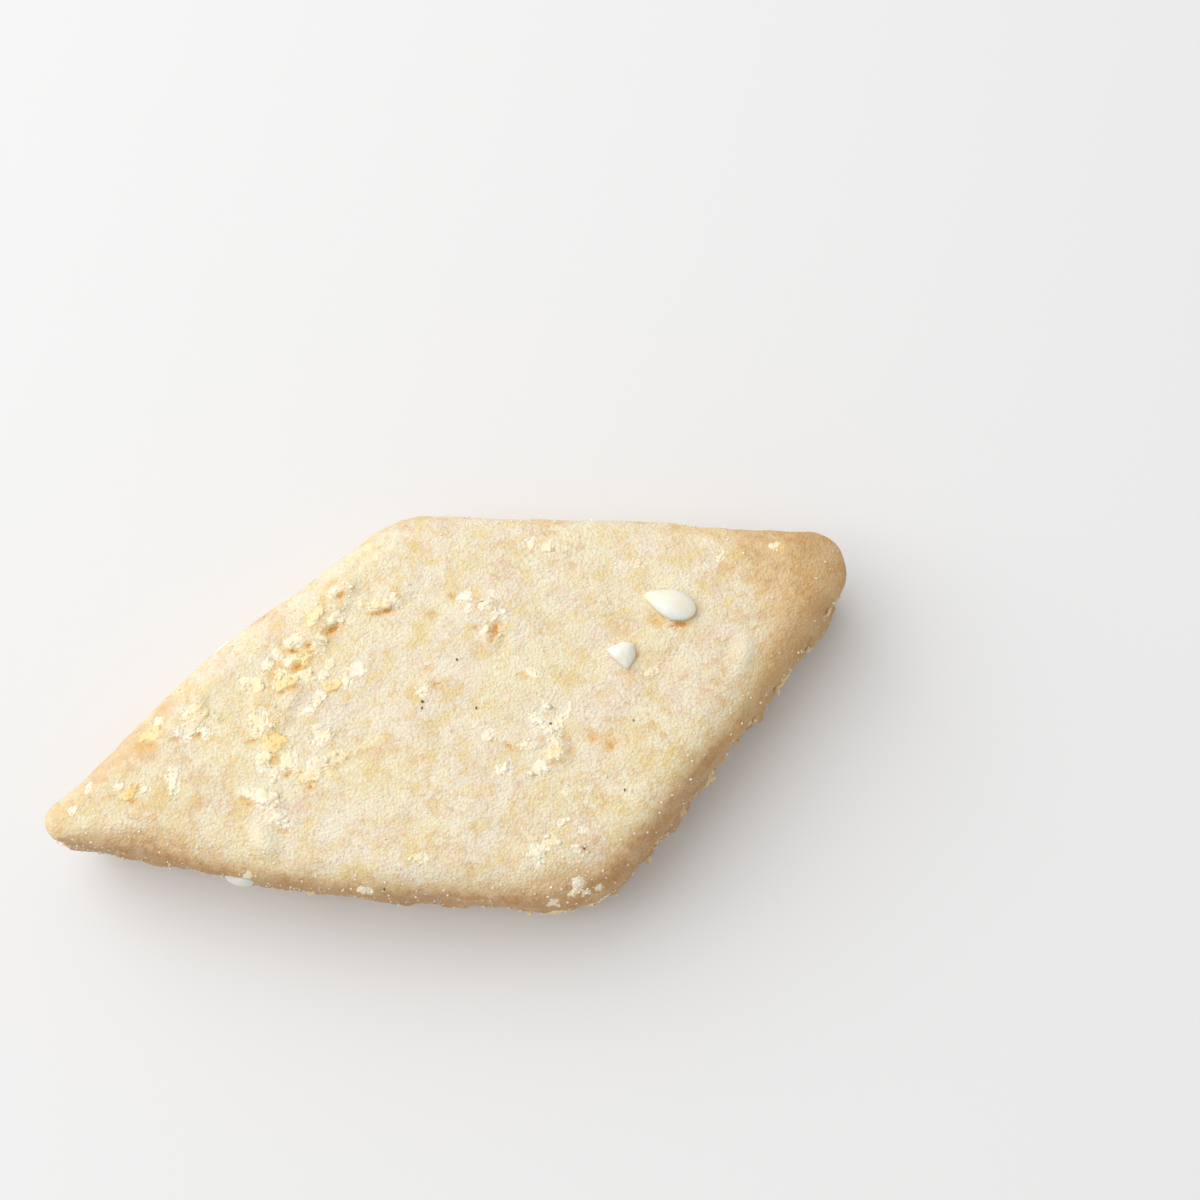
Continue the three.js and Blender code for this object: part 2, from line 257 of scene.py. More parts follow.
def face_relief(points, reach):
    """Height of the face over its level, and how much of it is ridge and rough spot."""
    flat = points * FLATTEN
    height = -FACE_DOME * reach**4 + 0.16 * lumps(flat, 7, 11) + 0.1 * lumps(flat, 2.6, 12)
    ridge = ridge_mask(flat)
    height += ridge * (0.14 * lumps(flat, 1.7, 41) + RIDGE_RISE)
    rough = np.zeros(len(points))
    for x, y, long, wide, turn, rise in ROUGH_PATCHES:
        mask = patch_mask(flat, x, y, long, wide, turn)
        height += mask * (rise + 0.1 * lumps(flat, 1.2, 42))
        rough = np.maximum(rough, mask)
    return height, ridge, rough


# %% [markdown]
# ## The crumbly sides and the base
# The knife drags the dough, so the sides are lumpy, in layers, and ragged towards the tray. The
# front left side leans in under the face, and at the front corner the dough slumped outwards.
# The base baked against the tray: flat, with a few pits where air was trapped.

# %% Relief of the sides and the base
LAYERING = np.array([1, 1, 1.5])
FRONT_CALM = 0.45
SLUMP = {"end": 0.24, "bulge": 0.2}


def low_on_side(z):
    return smoothstep(0.85, 0.15, z / THICKNESS)


def slump_at(side, along):
    """How far the foot of the side bulges out, next to the front corner."""
    past_corner = np.where(side == 1, along, 1)
    return SLUMP["bulge"] * smoothstep(SLUMP["end"], 0.5 * SLUMP["end"], past_corner)


def front_left_amount(normal):
    """1 on the smoother side that runs from the left tip to the front corner."""
    _, side_normal = arc_point(np.array([0]), np.array([1]))
    return smoothstep(0.6, 0.95, normal @ side_normal[0])


def wall_relief(points, normal, bulge=0):
    """How far the side stands out from the outline."""
    z = points[:, 2]
    low = low_on_side(z)
    front_left = front_left_amount(normal)
    inset = mix(FOOT_INSET, FRONT_FOOT_INSET, front_left) * smoothstep(BELLY_HEIGHT, 0, z)
    layered = points * LAYERING
    crags = 0.35 * lumps(layered, 3.6, 21) + 0.32 * lumps(layered, 1.6, 22)
    crags = crags * mix(0.3, 1, low) + 0.5 * lumps(points, 2.3, 23) * low**2
    return crags * mix(1, FRONT_CALM, front_left) + bulge * low - inset


def base_relief(points):
    return 0.5 * smoothstep(0.42, 1, lumps(points * FLATTEN, 2.4, 31))


# %% [markdown]
# ## Finer relief than the solid has
# Close up the skin is sandy. Bump shading alone looks painted at the silhouette, so the coarser
# grains, about half a millimetre, are real relief: faint on the smooth face, strong in the rough
# spots. The sides have drag folds that run level, torn lumps, a few cracks and small pores.

# %% Sandy grain, folds, cracks and pores
def fine_relief(points, rough, wall):
    """Extra height in millimetres; rough and wall say how much of each kind of skin is here."""
    sandy = 0.025 * lumps(points, 0.9, 61) + 0.015 * lumps(points, 0.45, 62)
    crumbly = 0.05 * lumps(points, 0.9, 63) + 0.06 * grains(points, 0.5, 64)
    folds = 0.16 * lumps(points * (1, 1, 3), 2.6, 60) + 0.1 * lumps(points * (1, 1, 2), 1.1, 65)
    torn = folds + 0.15 * lumps(points, 0.8, 66) + 0.1 * grains(points, 0.55, 67)
    crack_line = 1 - smoothstep(0, 0.12, np.abs(lumps(points * LAYERING, 3.0, 68)))
    crack_where = smoothstep(0.1, 0.5, lumps(points, 4.5, 69))
    pores = smoothstep(0.62, 0.9, lumps(points, 0.8, 70))
    torn -= 0.25 * crack_line * crack_where + 0.3 * pores
    return sandy + rough * crumbly + wall * torn


# %% [markdown]
# ## Stretching a block over the cookie
# The skin starts as a block of small cells, like a subdivided cube with no inside. Each point of
# the block has a place on the cookie: the top face is pulled out to the diamond, the outer rings
# bend over into the shoulder, and the four sides become the walls. One closed mesh comes out,
# with its cells in rows that follow the real edges.

# %% Block of cells
FACE_CELLS = 176
WALL_CELLS = 40


def block_skin(cells, rows):
    """Points of a block's skin from -1 to 1, and its quads, facing out."""
    sheets = (
        (cells, cells, lambda a, b: (a, b, 0 * a + rows)),
        (cells, cells, lambda a, b: (b, a, 0 * a)),
        (cells, rows, lambda a, b: (a, 0 * a, b)),
        (cells, rows, lambda a, b: (0 * a + cells, a, b)),
        (cells, rows, lambda a, b: (cells - a, 0 * a + cells, b)),
        (cells, rows, lambda a, b: (0 * a, cells - a, b)),
    )
    corners = []
    for wide, high, place in sheets:
        a, b = (grid.ravel() for grid in np.meshgrid(np.arange(wide), np.arange(high)))
        ring = [place(a + da, b + db) for da, db in ((0, 0), (1, 0), (1, 1), (0, 1))]
        corners.append(np.stack([np.stack(corner, axis=1) for corner in ring], axis=1))
    corners = np.concatenate(corners)
    points, quads = np.unique(corners.reshape(-1, 3), axis=0, return_inverse=True)
    return 2 * points / (cells, cells, rows) - 1, quads.reshape(-1, 4)


block, skin_quads = block_skin(FACE_CELLS, WALL_CELLS)
print("skin:", len(block), "points,", 2 * len(skin_quads), "triangles")


# %% Places on the cookie
def rim_place(u, v):
    """The side, and the place along it, that a point of the block's rim stands for."""
    reach = np.maximum(np.maximum(np.abs(u), np.abs(v)), 1e-9)
    across, up = u / reach, v / reach
    tests = [up <= -1, across >= 1, up >= 1]
    side = np.select(tests, [0, 1, 2], 3)
    along = np.select(tests, [(1 + across) / 2, (1 + up) / 2, (1 - across) / 2], (1 - up) / 2)
    return reach, side, along


def shoulder_at(side, along):
    near_front = np.select([side == 0, side == 1], [along, 1 - along], 0)
    near_tip = np.select([side == 3, side == 0], [along, 1 - along], 0)
    radius = mix(SHOULDER_RADIUS, FRONT_SHOULDER_RADIUS, smoothstep(0.72, 1, near_front))
    return mix(radius, TIP_SHOULDER_RADIUS, smoothstep(0.8, 1, near_tip))


def skin_points(block):
    """Carries points of the block to the cookie. Returns places in mm and what the skin is like."""
    u, v, w = block.T
    reach, side, along = rim_place(u, v)
    rim, normal = outline_at(side, along)
    shoulder = shoulder_at(side, along)
    down = (1 - w) / 2
    on_face, on_base = down == 0, down == 1
    bend = np.clip((reach - RING_START) / (1 - RING_START), 0, 1)
    tilt = np.where(on_face, bend, 1 + np.clip(down / ROW_END, 0, 1)) * math.pi / 4
    foot = np.where(on_base, 1, np.clip((down - FOOT_START) / (1 - FOOT_START), 0, 1)) * math.pi / 2
    inset = (shoulder * (1 - np.sin(tilt)) + BASE_EDGE * (1 - np.cos(foot))) / HALF_WIDTH
    spread = np.where(on_face, np.minimum(1, reach / RING_START), np.where(on_base, reach, 1))
    spread = spread * (1 - inset)
    z = THICKNESS - FACE_DOME / 2 - shoulder * (1 - np.cos(tilt))
    part = np.clip((down - ROW_END) / (FOOT_START - ROW_END), 0, 1)
    wall_z = mix(THICKNESS - FACE_DOME / 2 - shoulder, BASE_EDGE, part)
    z = np.where(down > ROW_END, wall_z - BASE_EDGE * np.sin(foot), z)
    points = np.column_stack([rim * spread[:, None], z])

    face = np.where(on_base, 0, np.cos(tilt))
    wall = np.where(on_base, reach**8, np.sin(tilt))
    lift, ridge, rough = face_relief(points, np.minimum(1, spread))
    torn = wall * low_on_side(points[:, 2]) * (1 - on_base)
    fine = fine_relief(points, np.maximum(ridge, rough), torn)
    out = wall * (wall_relief(points, normal, slump_at(side, along)) + (1 - on_base) * fine)
    points[:, :2] += normal * out[:, None]
    points[:, 2] += face * (lift + fine) + on_base * base_relief(points) * smoothstep(1, 0.85, reach)
    points[:, 2] = np.maximum(points[:, 2], 0)
    # Sides that face the front right, away from the lamp: where painted shade goes
    shaded_front_mask = wall * smoothstep(0.1, 0.8, normal @ (0.5, -0.87)) * (1 - on_base)
    traits = {"reach": reach, "ridge": ridge * face, "rough": np.maximum(ridge, rough) * face,
              "torn": torn, "fine": fine, "base": on_base * 1.0, "front": shaded_front_mask,
              "calm": front_left_amount(normal)}
    return points, traits


skin, skin_traits = skin_points(block)
print("fine skin, mm:", np.ptp(skin, axis=0).round(2))

# %% [markdown]
# ## From points to a piece
# Blender makes a mesh from lists of points and faces. Every piece here goes through one helper,
# which also stores numbers on the points, such as how toasted the skin is, for the materials to
# read, and hooks the piece to the cookie's body.

# %% Mesh helper
def make_piece(name, points, faces, material, numbers=None):
    """A smooth-shaded piece from points in millimetres, riding on the cookie's body."""
    mesh = bpy.data.meshes.new(name)
    mesh.from_pydata((points * MM).tolist(), [], faces.tolist())
    mesh.shade_smooth()
    for label, values in (numbers or {}).items():
        layer = mesh.attributes.new(label, "FLOAT", "POINT")
        layer.data.foreach_set("value", np.asarray(values, np.float32))
    piece = bpy.data.objects.new(name, mesh)
    bpy.context.scene.collection.objects.link(piece)
    mesh.materials.append(material)
    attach(piece, "root")
    print(name, len(mesh.vertices), "points")
    return piece


# %% [markdown]
# ## Where the flakes and spots lie
# Dough that stuck to the knife or the tray baked onto the face as thin, ragged flakes, whiter than the
# skin, with gold around them that is painted warm shadow. They are this cookie's own marks, so their
# places are named one by one. The lists come first, because the skin's colour, its relief and the
# flakes themselves all read them.

# %% Flakes, crevices and spots on the face
# Flakes: x, y, half length, half width, turn in degrees, tone from 0, white, to 1, golden
FLAKES = (
    (-13.5, -0.85, 0.6, 0.3, -40, 0), (-12.7, -1.5, 0.6, 0.5, -40, 0),
    (-12.4, -2.7, 0.75, 0.45, -35, 0), (-12.0, -3.45, 0.2, 0.15, 0, 0),
    (-12.05, 0.65, 0.55, 0.4, 60, 0), (-11.6, -0.15, 0.4, 0.22, 75, 0),
    (-10.65, 0.25, 0.5, 0.45, 0, 0.2), (-9.2, -0.6, 0.6, 0.5, 0, 0.1),
    (-9.9, -1.05, 0.7, 0.4, -20, 0.5), (-8.5, -0.45, 0.3, 0.22, 0, 0.1),
    (-7.75, -0.5, 0.55, 0.45, 0, 0.5), (-8.25, 0.95, 0.5, 0.4, 0, 0.2),
    (-8.6, 2.8, 0.35, 0.2, -20, 0.1), (-7.95, 3.2, 0.45, 0.2, 60, 0.1),
    (-8.45, 1.6, 0.25, 0.15, 0, 0), (-11.65, 3.25, 0.85, 0.5, 75, 0.3),
    (-12.0, 2.5, 0.3, 0.25, 0, 0.3), (-11.4, 1.6, 0.75, 0.6, 0, 0.8),
    (-11.45, 5.6, 0.6, 0.55, 0, 0.3), (-8.2, 4.95, 0.65, 0.5, 0, 0), (-5.1, 4.25, 0.5, 0.4, -20, 0),
    (-5.9, 3.85, 0.45, 0.25, 70, 0), (-6.55, 5.1, 0.4, 0.22, 70, 0.1),
    (-7.0, 4.6, 0.35, 0.22, -5, 0), (-5.2, 7.75, 0.5, 0.36, 20, 0.1),
    (-8.1, 7.35, 0.6, 0.35, -10, 0.15), (-8.75, 6.25, 0.3, 0.25, 0, 0.2),
    (-9.4, 6.95, 0.35, 0.18, -60, 0), (-7.7, 3.3, 0.4, 0.25, 70, 0), (-17.6, 1.5, 0.7, 0.35, 75, 0),
    (-6.5, 7.0, 0.4, 0.25, 10, 0.2), (-6.9, 6.3, 0.4, 0.3, 0, 0.3), (-7.9, 6.0, 0.55, 0.42, 0, 0.8),
    (-4.9, 9.5, 0.4, 0.25, 50, 0.3), (-10.1, 6.4, 0.35, 0.25, 0, 0.2),
    (-9.6, 5.5, 0.4, 0.3, 0, 0.3), (-16.4, 4.2, 0.35, 0.2, 0, 0), (-14.9, 3.8, 0.35, 0.3, 0, 0),
    (-15.9, 3.85, 0.3, 0.25, 0, 0.1), (-15.0, 5.0, 0.9, 0.5, 10, 0.5),
    (-15.7, 4.5, 0.8, 0.4, 20, 0.4), (-18.2, 4.9, 1.0, 0.4, -15, 0.8),
    (-17.5, 5.5, 0.3, 0.25, 0, 0), (-20.7, 2.3, 0.2, 0.18, 0, 0.1), (-19.2, 1.7, 0.2, 0.15, 0, 0),
    (-22.6, 3.0, 0.25, 0.16, 40, 0), (-23.7, 1.9, 0.22, 0.14, 50, 0),
    (-20.3, 1.7, 0.5, 0.42, 0, 1.4), (-6.4, 8.4, 0.8, 0.4, 39, 0.7),
    (-9.4, 4.95, 0.75, 0.45, 10, 0.8), (-6.75, 3.8, 0.6, 0.38, 0, 0.9),
    (-2.6, 7.75, 0.8, 0.35, -15, 0.5), (-1.5, 7.7, 0.4, 0.25, 20, 0.3),
    (-3.5, 8.1, 0.3, 0.2, 0, 0.5), (2.55, 6.25, 0.42, 0.36, 0, 0), (2.7, 5.5, 0.26, 0.12, 60, 0),
    (3.7, 5.3, 0.32, 0.16, -10, 0), (4.35, 5.7, 0.3, 0.15, -60, 0), (4.1, 4.4, 0.38, 0.3, 0, 0),
    (3.15, 3.8, 0.2, 0.15, 60, 0.1), (4.85, 0.25, 0.36, 0.24, -50, 0),
    (-1.7, 1.5, 0.25, 0.2, 0, 0.1), (5.0, -3.5, 0.5, 0.28, 15, 0), (4.55, -3.2, 0.28, 0.2, 60, 0),
    (4.2, -2.4, 0.45, 0.28, -30, 0.2), (4.75, -4.2, 0.38, 0.3, 60, 0.1),
    (4.55, -5.0, 0.55, 0.38, 0, 0.3), (3.25, -5.5, 0.42, 0.36, 0, 0),
    (1.35, -4.8, 0.38, 0.25, 0, 0.1), (1.15, -2.4, 0.3, 0.28, 60, 0),
    (3.05, -3.8, 0.35, 0.22, 0, 0.2), (4.9, -2.0, 0.2, 0.16, 0, 0.1),
    (5.6, -3.05, 0.3, 0.15, 30, 0.2), (6.25, -2.8, 0.4, 0.14, 60, 0.3),
    (4.35, -7.5, 0.22, 0.18, 60, 0.2), (2.65, -9.75, 0.42, 0.36, 0, 0),
    (1.5, -10.1, 0.6, 0.42, 10, 0), (2.1, -10.0, 0.4, 0.3, 0, 0), (1.35, -10.9, 0.18, 0.14, 0, 0),
    (3.6, -9.0, 0.35, 0.2, 0, 0.2), (4.5, -9.8, 0.22, 0.15, 0, 0.1),
    (3.75, -10.7, 0.25, 0.1, -60, 0), (-8.9, -8.6, 0.5, 0.25, -30, 0.1),
    (-5.2, -8.0, 0.4, 0.2, -20, 0.2), (11.8, -2.2, 0.3, 0.2, 0, 0.2),
    (18.5, 3.2, 0.3, 0.15, 20, 0.2), (8.7, 7.5, 0.5, 0.25, 10, 0.2), (7.7, 8.1, 0.3, 0.18, 40, 0.1),
    (22.0, 2.7, 0.28, 0.18, 0, 0.3), (-15.3, -5.3, 0.3, 0.18, 30, 0.2),
    (-16.5, -4.9, 0.24, 0.16, 0, 0.3), (13.4, 4.6, 0.25, 0.16, 0, 0.3),
    (3.2, -12.5, 0.2, 0.25, 0, 0), (2.7, -13.0, 0.35, 0.22, 30, 0.4),
    (3.4, -13.4, 0.4, 0.25, 20, 0.3), (1.4, -13.2, 0.4, 0.16, 0, 0),
    (4.2, -13.3, 0.25, 0.18, 40, 0.3),
)

# Flakes low on the sides: side, place along it, height, half length, half width, turn, tone
WALL_FLAKES = (
    (0, 0.93, 4.2, 0.9, 0.5, 10, 0.2), (0, 0.985, 3.4, 0.8, 0.5, -10, 0.1),
    (1, 0.03, 4.6, 0.8, 0.5, 20, 0.2), (0, 0.22, 3.6, 0.6, 0.4, 0, 0.4),
    (0, 0.55, 2.8, 0.7, 0.4, 15, 0.4), (1, 0.4, 3.2, 0.7, 0.5, -20, 0.4),
    (1, 0.7, 2.6, 0.6, 0.4, 0, 0.5), (2, 0.3, 3.0, 0.8, 0.4, 10, 0.4),
    (2, 0.75, 2.4, 0.6, 0.5, 0, 0.3), (3, 0.2, 2.8, 0.7, 0.4, -10, 0.5),
    (3, 0.62, 3.4, 0.8, 0.4, 20, 0.3), (3, 0.85, 2.6, 0.5, 0.4, 0, 0.4),
)

# Crevices, shallow dents coloured gold as painted warm shade; some are painted contact shadows beside
# the seed, the broken seed and the ridge: x, y, half length, half width, turn in degrees, strength
CREVICES = (
    (-5.7, 7.2, 0.8, 0.22, 9, 1), (-4.6, 9.1, 0.25, 0.18, 30, 1), (-8.45, 5.75, 0.5, 0.24, 43, 1),
    (-9.35, 4.4, 0.85, 0.14, 2, 0.9), (-8.4, 6.75, 0.5, 0.13, -25, 0.9),
    (-7.4, 6.75, 0.32, 0.16, -10, 1), (-9.0, 7.3, 0.5, 0.09, -95, 0.7),
    (-8.0, 5.5, 0.4, 0.07, 10, 0.7), (-4.9, 8.55, 0.3, 0.1, 60, 0.6),
    (-10.1, 5.7, 0.25, 0.25, 0, 0.6), (-6.65, 3.35, 0.5, 0.1, -10, 0.7),
    (-7.3, 6.2, 0.3, 0.1, -20, 0.7), (-11.5, 0.7, 0.35, 0.15, 50, 0.8),
    (-11.0, -0.5, 0.4, 0.15, 20, 0.8), (-12.5, 2.2, 0.4, 0.15, -30, 0.8),
    (-13.8, -1.2, 0.45, 0.14, -55, 0.8), (-12.2, -3.7, 0.4, 0.14, -20, 0.7),
    (-15.4, 3.75, 0.35, 0.14, 10, 0.8), (-16.8, 4.0, 0.35, 0.14, 0, 0.7),
    (-7.6, 4.9, 0.16, 0.2, 0, 0.6), (-2.5, 7.2, 0.9, 0.14, -12, 1),
    (-4.9, 10.1, 0.4, 0.25, 20, 0.6), (-18.6, 4.3, 0.8, 0.16, -20, 0.7),
    (3.75, 3.6, 0.6, 0.3, 35, 1), (3.35, 3.2, 0.3, 0.15, 60, 1), (1.95, 6.5, 0.4, 0.18, -65, 0.8),
    (0.5, 5.9, 0.35, 0.22, -20, 0.8), (2.7, 4.2, 0.35, 0.13, -30, 0.7),
    (2.4, 3.1, 0.45, 0.13, -30, 0.5), (-1.05, 2.75, 0.4, 0.25, 0, 0.7),
    (-0.8, 1.6, 0.55, 0.16, -40, 0.9), (0.7, 0.9, 0.55, 0.12, -70, 0.5),
    (4.35, 0.3, 0.4, 0.2, -50, 0.7), (4.45, -5.55, 0.65, 0.14, -10, 0.8),
    (4.1, -3.9, 0.4, 0.14, -60, 0.6), (5.45, -5.1, 0.35, 0.25, 0, 0.5),
    (7.0, -4.7, 0.6, 0.4, -20, 0.7), (7.85, -5.6, 0.5, 0.28, 0, 0.8),
    (7.8, -5.1, 0.4, 0.2, 20, 0.6), (2.08, -3.5, 0.27, 0.08, -78, 0.9),
    (14.5, -0.05, 0.75, 0.3, -12, 1), (13.2, 0.7, 0.6, 0.22, -50, 0.8),
    (10.2, -1.75, 0.75, 0.3, -25, 0.5), (11.4, -1.0, 0.3, 0.25, 30, 0.7),
    (-9.9, -1.6, 0.48, 0.22, 9, 0.9), (-20.2, 1.2, 0.5, 0.2, 0, 0.7),
    (-13.0, -5.3, 0.8, 0.14, -10, 0.3), (6.0, 8.8, 0.5, 0.14, 10, 0.4),
)

# Small stains: x, y, radius, strength
STAINS = (
    (7.6, -7.5, 0.35, 0.9), (7.6, -8.1, 0.3, 0.8), (1.8, -5.95, 0.4, 0.8), (1.5, -6.35, 0.3, 0.6),
    (13.5, -3.3, 0.4, 0.6), (5.1, -10.6, 0.45, 1), (4.2, -10.9, 0.45, 0.9),
    (-0.15, -10.0, 0.6, 0.5), (-4.8, 9.3, 0.25, 1), (-1.7, 9.3, 0.6, 0.3), (-22.0, 3.4, 0.6, 0.5),
    (-9.2, 4.9, 0.3, 0.6), (3.2, -0.95, 0.14, 0.8), (5.5, 2.45, 0.2, 0.5), (7.6, 4.55, 0.18, 0.7),
    (2.95, -6.5, 0.15, 0.7), (2.45, -7.0, 0.15, 0.7), (16.9, 6.1, 0.4, 0.4), (19.6, -1.4, 0.5, 0.4),
)

# Wide soft yellow areas: x, y, half length, half width, turn in degrees, strength
BUTTERY = (
    (-6.5, 8.35, 1.3, 0.75, 42, 1), (-9.4, 5.0, 1.0, 0.5, 5, 1), (-17.6, 4.6, 2.0, 0.8, 15, 0.5),
    (-11.2, 1.6, 1.3, 1.0, 0, 0.5), (-2.8, 7.7, 1.5, 0.6, -8, 0.8), (4.2, -10.8, 1.4, 0.8, 20, 0.4),
    (-6.75, 3.8, 0.7, 0.4, 0, 1), (-5.6, 3.9, 0.3, 0.25, 0, 0.6), (-6.1, 5.1, 0.7, 0.5, 0, 0.4),
    (-8.2, 6.0, 0.8, 0.6, 30, 0.6), (-6.9, 6.5, 0.5, 0.4, 0, 0.5), (-9.9, 4.0, 1.2, 0.6, 40, 0.35),
    (1.5, 10.4, 1.4, 0.8, 10, 0.5), (7.7, -5.0, 1.4, 0.9, 0, 0.4), (7.8, 0.75, 0.7, 0.5, 0, 0.35),
    (2.4, -8.2, 2.6, 1.0, 10, 0.3), (-20.2, 1.7, 0.9, 0.7, 0, 0.6), (-5.0, 10.3, 0.8, 0.4, 20, 0.5),
    (-1.5, 2.0, 1.6, 1.0, -30, 0.25), (-3.5, -2.5, 3.0, 1.6, -20, 0.25),
)

# Pale spots, where a seed or dry flour lies just under the skin: x, y, half sizes, turn, strength
PALE_SPOTS = (
    (17.5, -3.1, 1.45, 0.85, 56, 1), (-13.5, -3.9, 1.35, 0.8, -84, 1),
    (-5.2, -8.6, 1.0, 0.8, 0, 0.6), (9.0, 2.1, 1.2, 0.8, 30, 0.4), (2.0, 5.0, 0.6, 0.4, 0, 0.7),
    (1.1, -4.2, 0.45, 0.35, 0, 0.6), (0.5, -3.0, 0.25, 0.2, 0, 0.6), (0.4, -9.6, 0.7, 0.4, 60, 0.5),
    (5.5, 2.9, 0.35, 0.25, 0, 0.6), (7.1, 0.15, 0.35, 0.3, 0, 0.6), (2.2, -6.9, 0.3, 0.25, 0, 0.5),
    (2.4, 1.6, 1.4, 0.9, 20, 0.4),
)
SUNKEN_SEEDS = PALE_SPOTS[:2]
print(len(FLAKES) + len(WALL_FLAKES), "flakes,", len(CREVICES), "crevices")


# %% [markdown]
# ## Where the oven coloured it, and painted shade
# Butter dough browns from the edges in: the middle of the face stays cream, the rim turns tan, the
# sides are golden, and the base is brownest. Hollows get a darker gold, and the sides facing the front
# right get darker: both are painted shade. These amounts are worked out once for every point of the
# skin. A painted texture would need an image; numbers on the points need nothing.

# %% Toast, gold, painted shade, stains and pale spots
SUNKEN_SEED_RISE = 0.24
CREVICE_DEPTH = 0.1
CREVICE_RAGGEDNESS = 0.12


def toast_and_shade_amount(points, traits):
    """0 where the dough stayed cream, 1 where it is well browned, plus painted shade on the sides that
    face the front right.
    """
    x, y, z = points.T
    reach = traits["reach"]
    towards_rim = 0.16 * smoothstep(0.35, 0.85, reach) + 0.16 * smoothstep(0.84, 1, reach)
    down_the_sides = 0.28 * smoothstep(THICKNESS - 1, THICKNESS - 4, z) * (1 - traits["base"])
    by_the_tray = 0.1 * smoothstep(4, 0, z) + 0.25 * traits["base"]
    front_to_back = 0.06 * smoothstep(-5, -13, y) - 0.08 * smoothstep(0, 10, y)
    both_tips = 0.22 * smoothstep(-10, -24, x) + 1.1 * smoothstep(16, 26, x)
    # Painted shade: the sides facing the front right, below the face, are darkened
    front_wall_shade = 1.25 * traits["front"] * smoothstep(8.6, 7.1, z)
    crumbly = 0.25 * traits["torn"] * lumps(points * LAYERING, 1.3, 80) - 0.12 * traits["rough"]
    uneven = 0.02 + 0.12 * lumps(points, 5, 71) + 0.1 * lumps(points, 2, 72)
    return (towards_rim + down_the_sides + by_the_tray + front_to_back + both_tips + front_wall_shade
            + crumbly + uneven)


def spots_amount(points, spots, raggedness=0.25):
    """Oval spots on the face with ragged edges, each at its own strength."""
    shift = np.column_stack([lumps(points, 0.7, seed) for seed in (74, 75, 76)])
    ragged = points + raggedness * shift
    amount = np.zeros(len(points))
    for x, y, long, wide, turn, strength in spots:
        oval = patch_mask(ragged, x, y, long, wide, turn, fade=0.3)
        amount = np.maximum(amount, strength * oval)
    return amount * smoothstep(6, 7.6, points[:, 2])


def butter_and_shade_amount(points, traits):
    """Gold from the named spots and from small spots anywhere, with painted warm shade around flakes,
    in creases and on the ridge.
    """
    # Painted warm shadow under each flake: its oval, moved a little to the front right, away from the
    # lamp, wider, and all equally strong
    flake_shadow_ovals = np.array(FLAKES) * (1, 1, 1, 1, 1, 0) + (0.12, -0.16, 0.35, 0.35, 0, 0.75)
    patchy = smoothstep(-0.5, 0.5, lumps(points, 0.8, 78))
    amount = np.maximum(spots_amount(points, BUTTERY, 0.6), patchy * spots_amount(points, flake_shadow_ovals))
    freckles = smoothstep(0.45, 0.8, lumps(points, 1.3, 77)) * (0.25 + 0.6 * traits["torn"])
    # Painted shade: gold in the creases of the fine relief
    crease_shade = smoothstep(0.02, -0.14, traits["fine"])
    right = smoothstep(11, 18, points[:, 0]) * smoothstep(0.75, 0.95, traits["reach"])
    amount = 0.8 * np.maximum(amount, freckles) + 0.4 * crease_shade
    # The ridge gets gold: partly its own colour, partly painted warm shade on its slopes
    return np.clip(amount + 0.3 * traits["ridge"] + 0.3 * right, 0, 1)


def sunken_seeds(points):
    """1 over the seeds that lie just under the skin of the face."""
    amount = np.zeros(len(points))
    for x, y, long, wide, turn, _ in SUNKEN_SEEDS:
        oval = patch_mask(points, x, y, long, wide, turn, fade=0.1)
        amount = np.maximum(amount, oval * (points[:, 2] > 5))
    return amount


# The same lists for colour: crevices a little wider for their painted shade, flakes wider, and
# stronger where whiter
stain_spots = [(x, y, radius, 0.7 * radius, 40 * x, strength) for x, y, radius, strength in STAINS]
crevice_shade_ovals = np.array(CREVICES) + (0, 0, 0.12, 0.12, 0, 0)
white_flakes = np.array(FLAKES) * (1, 1, 1, 1, 1, -0.9) + (0, 0, 0.2, 0.2, 0, 1)

sunken = sunken_seeds(skin)
crevices = spots_amount(skin, CREVICES, CREVICE_RAGGEDNESS)
skin[:, 2] += SUNKEN_SEED_RISE * sunken - CREVICE_DEPTH * crevices

skin_numbers = {
    "toast_and_shade": toast_and_shade_amount(skin, skin_traits),
    "butter_and_shade": butter_and_shade_amount(skin, skin_traits),
    "crevice": spots_amount(skin, crevice_shade_ovals, CREVICE_RAGGEDNESS),
    "stain": spots_amount(skin, stain_spots),
    "flaky": spots_amount(skin, white_flakes, 0.2),
    "pale": np.maximum(spots_amount(skin, PALE_SPOTS[2:], 0.5), sunken),
    "smooth": sunken,
}
for label, values in skin_numbers.items():
    print("mean of", label, round(float(values.mean()), 3))

# %% [markdown]
# ## Shader groups for dough
# The crust, the crumbs and the nibs are one dough, baked to different tones. A node group is a small
# recipe with named inputs that each material fills in its own way. The first group lays out single
# grains and gives their height, how raised each grain's top is, and the gaps between them; the seeds
# use it too, faintly. The second turns an amount of toast into a mottled colour, grain by grain, with
# a painted highlight on the raised tops and painted shade in the gaps.

# %% Node helpers
COLOUR, VALUE = "NodeSocketColor", "NodeSocketFloat"


def new_group(name, inputs, outputs):
    """A node group with its inputs, by name and usual value, and its outputs, by name and kind."""
    group = bpy.data.node_groups.new(name, "ShaderNodeTree")
    for label, value in inputs.items():
        kind = COLOUR if isinstance(value, tuple) else VALUE
        group.interface.new_socket(label, in_out="INPUT", socket_type=kind).default_value = value
    for label, kind in outputs.items():
        group.interface.new_socket(label, in_out="OUTPUT", socket_type=kind)
    given = group.nodes.new("NodeGroupInput").outputs
    return group, given, group.nodes.new("NodeGroupOutput").inputs


